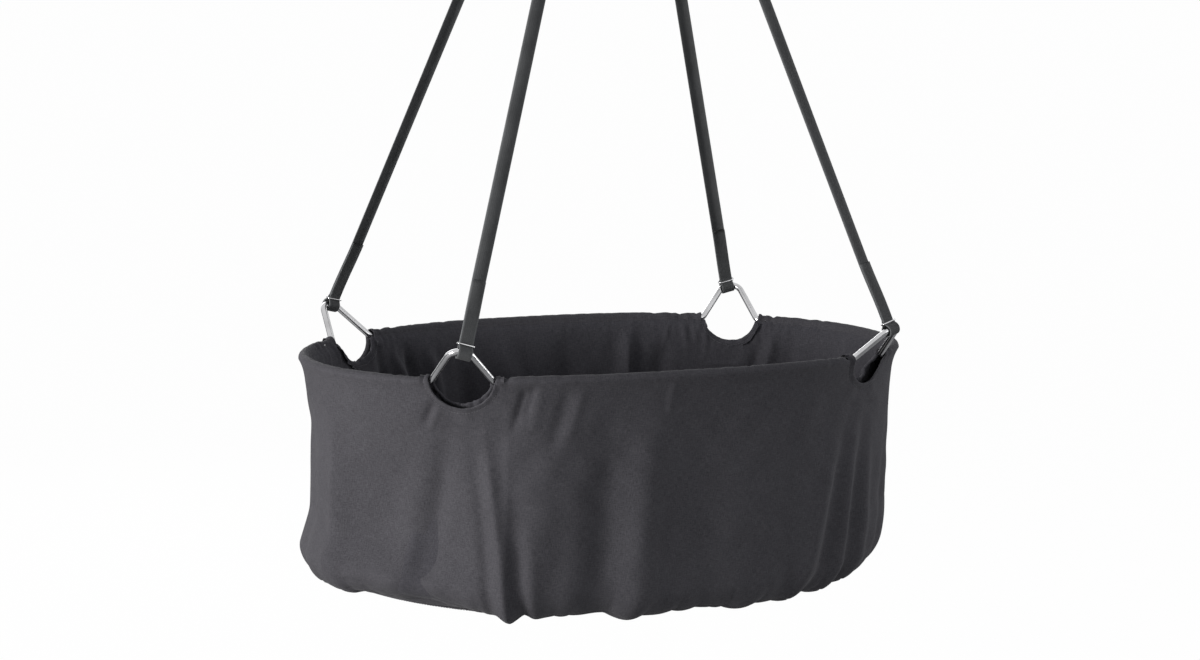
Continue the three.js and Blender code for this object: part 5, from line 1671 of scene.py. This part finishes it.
def look():
    """The camera: its place on a sphere round the rim, then its own pan, pitch and roll."""
    camera = bpy.data.cameras.new("camera")
    camera.sensor_width = SENSOR
    camera.sensor_fit = "HORIZONTAL"
    camera.lens = SENSOR * FOCAL_PIXELS / IMAGE_WIDTH
    camera.clip_end = 200
    level = math.cos(ELEVATION)
    place = Vector((math.sin(YAW) * level, -math.cos(YAW) * level, math.sin(ELEVATION))) * DISTANCE
    place.z += rim_height
    turn = YAW + PAN
    ahead = Vector((-math.sin(turn) * math.cos(PITCH), math.cos(turn) * math.cos(PITCH), -math.sin(PITCH)))
    right = Vector((math.cos(turn), math.sin(turn), 0))
    above = right.cross(ahead)
    across = right * math.cos(ROLL) + above * math.sin(ROLL)
    over = above * math.cos(ROLL) - right * math.sin(ROLL)
    obj = in_scene("camera", camera)
    for row in range(3):
        for column, axis in enumerate((across, over, -ahead, place)):
            obj.matrix_world[row][column] = axis[row]
    bpy.context.scene.camera = obj


AIM_DROP = 0.1  # the lamps aim this far under the rim
FLOOR_DROP = 0.55  # the studio floor lies this far under the cradle
FLOOR_HALF = 60.0


def area_light(name, place, size, power, colour=(1, 1, 1)):
    """A soft square lamp that faces the bag, at a place from the middle of the rim."""
    lamp = bpy.data.lights.new(name, "AREA")
    lamp.size = size
    lamp.energy = power
    lamp.color = colour
    obj = in_scene(name, lamp)
    obj.location = (place[0], place[1], rim_height + place[2])
    ahead = Vector((0, 0, rim_height - AIM_DROP)) - obj.location
    obj.rotation_euler = ahead.to_track_quat("-Z", "Y").to_euler()


def studio_floor():
    """A pale floor that the camera sees as white, well under the cradle."""
    low = cad_box[0][2] - FLOOR_DROP
    reach = FLOOR_HALF
    mesh = bpy.data.meshes.new("floor")
    corners = [(-reach, -reach, low), (reach, -reach, low), (reach, reach, low), (-reach, reach, low)]
    mesh.from_pydata(corners, [], [(0, 1, 2, 3)])
    floor = in_scene("floor", mesh)
    made, use, shader = new_material("floor")
    grain = use.add("ShaderNodeTexNoise", {"Scale": 3.0, "Detail": 3}).outputs["Fac"]
    use.feed(shader, {"Base Color": use.ramp(grain, (0.4, 0.36), (0.6, 0.40)), "Roughness": 0.9})
    glow = use.add("ShaderNodeEmission", {"Strength": 1.02})
    share = use.math("MULTIPLY", use.add("ShaderNodeLightPath").outputs["Is Camera Ray"], 0.96)
    mix = use.add("ShaderNodeMixShader", {0: share, 1: shader.outputs[0], 2: glow.outputs[0]})
    use.feed(use.tree.nodes["Material Output"], {"Surface": mix.outputs[0]})
    mesh.materials.append(made)


def studio_world():
    """Soft light all round, and white where the camera or a reflection sees it."""
    world = bpy.data.worlds.new("studio")
    bpy.context.scene.world = world
    use = Nodes(world)
    use.tree.nodes.clear()
    rays = use.add("ShaderNodeLightPath")
    seen = use.math("MAXIMUM", rays.outputs["Is Camera Ray"], rays.outputs["Is Glossy Ray"])
    seen = use.math("MAXIMUM", seen, rays.outputs["Is Transmission Ray"])
    plain = use.add("ShaderNodeBackground", {"Color": (0.92, 0.95, 1.0, 1), "Strength": 0.36})
    white = use.add("ShaderNodeBackground", {"Color": (1, 1, 1, 1), "Strength": 1.0})
    mix = use.add("ShaderNodeMixShader", {0: seen, 1: plain.outputs[0], 2: white.outputs[0]})
    use.add("ShaderNodeOutputWorld", {"Surface": mix.outputs[0]})


look()
studio_floor()
studio_world()
area_light("key", (-3.35, -0.62, 0.3), size=1.0, power=142, colour=(1.0, 0.99, 0.98))
area_light("fill", (0.6, -3.3, 0.9), size=1.8, power=12)
area_light("side", (3.1, -0.7, 0.5), size=0.8, power=28)
area_light("rear", (0.6, 3.4, 0.9), size=1.8, power=32)
bpy.context.scene.view_settings.view_transform = "Standard"
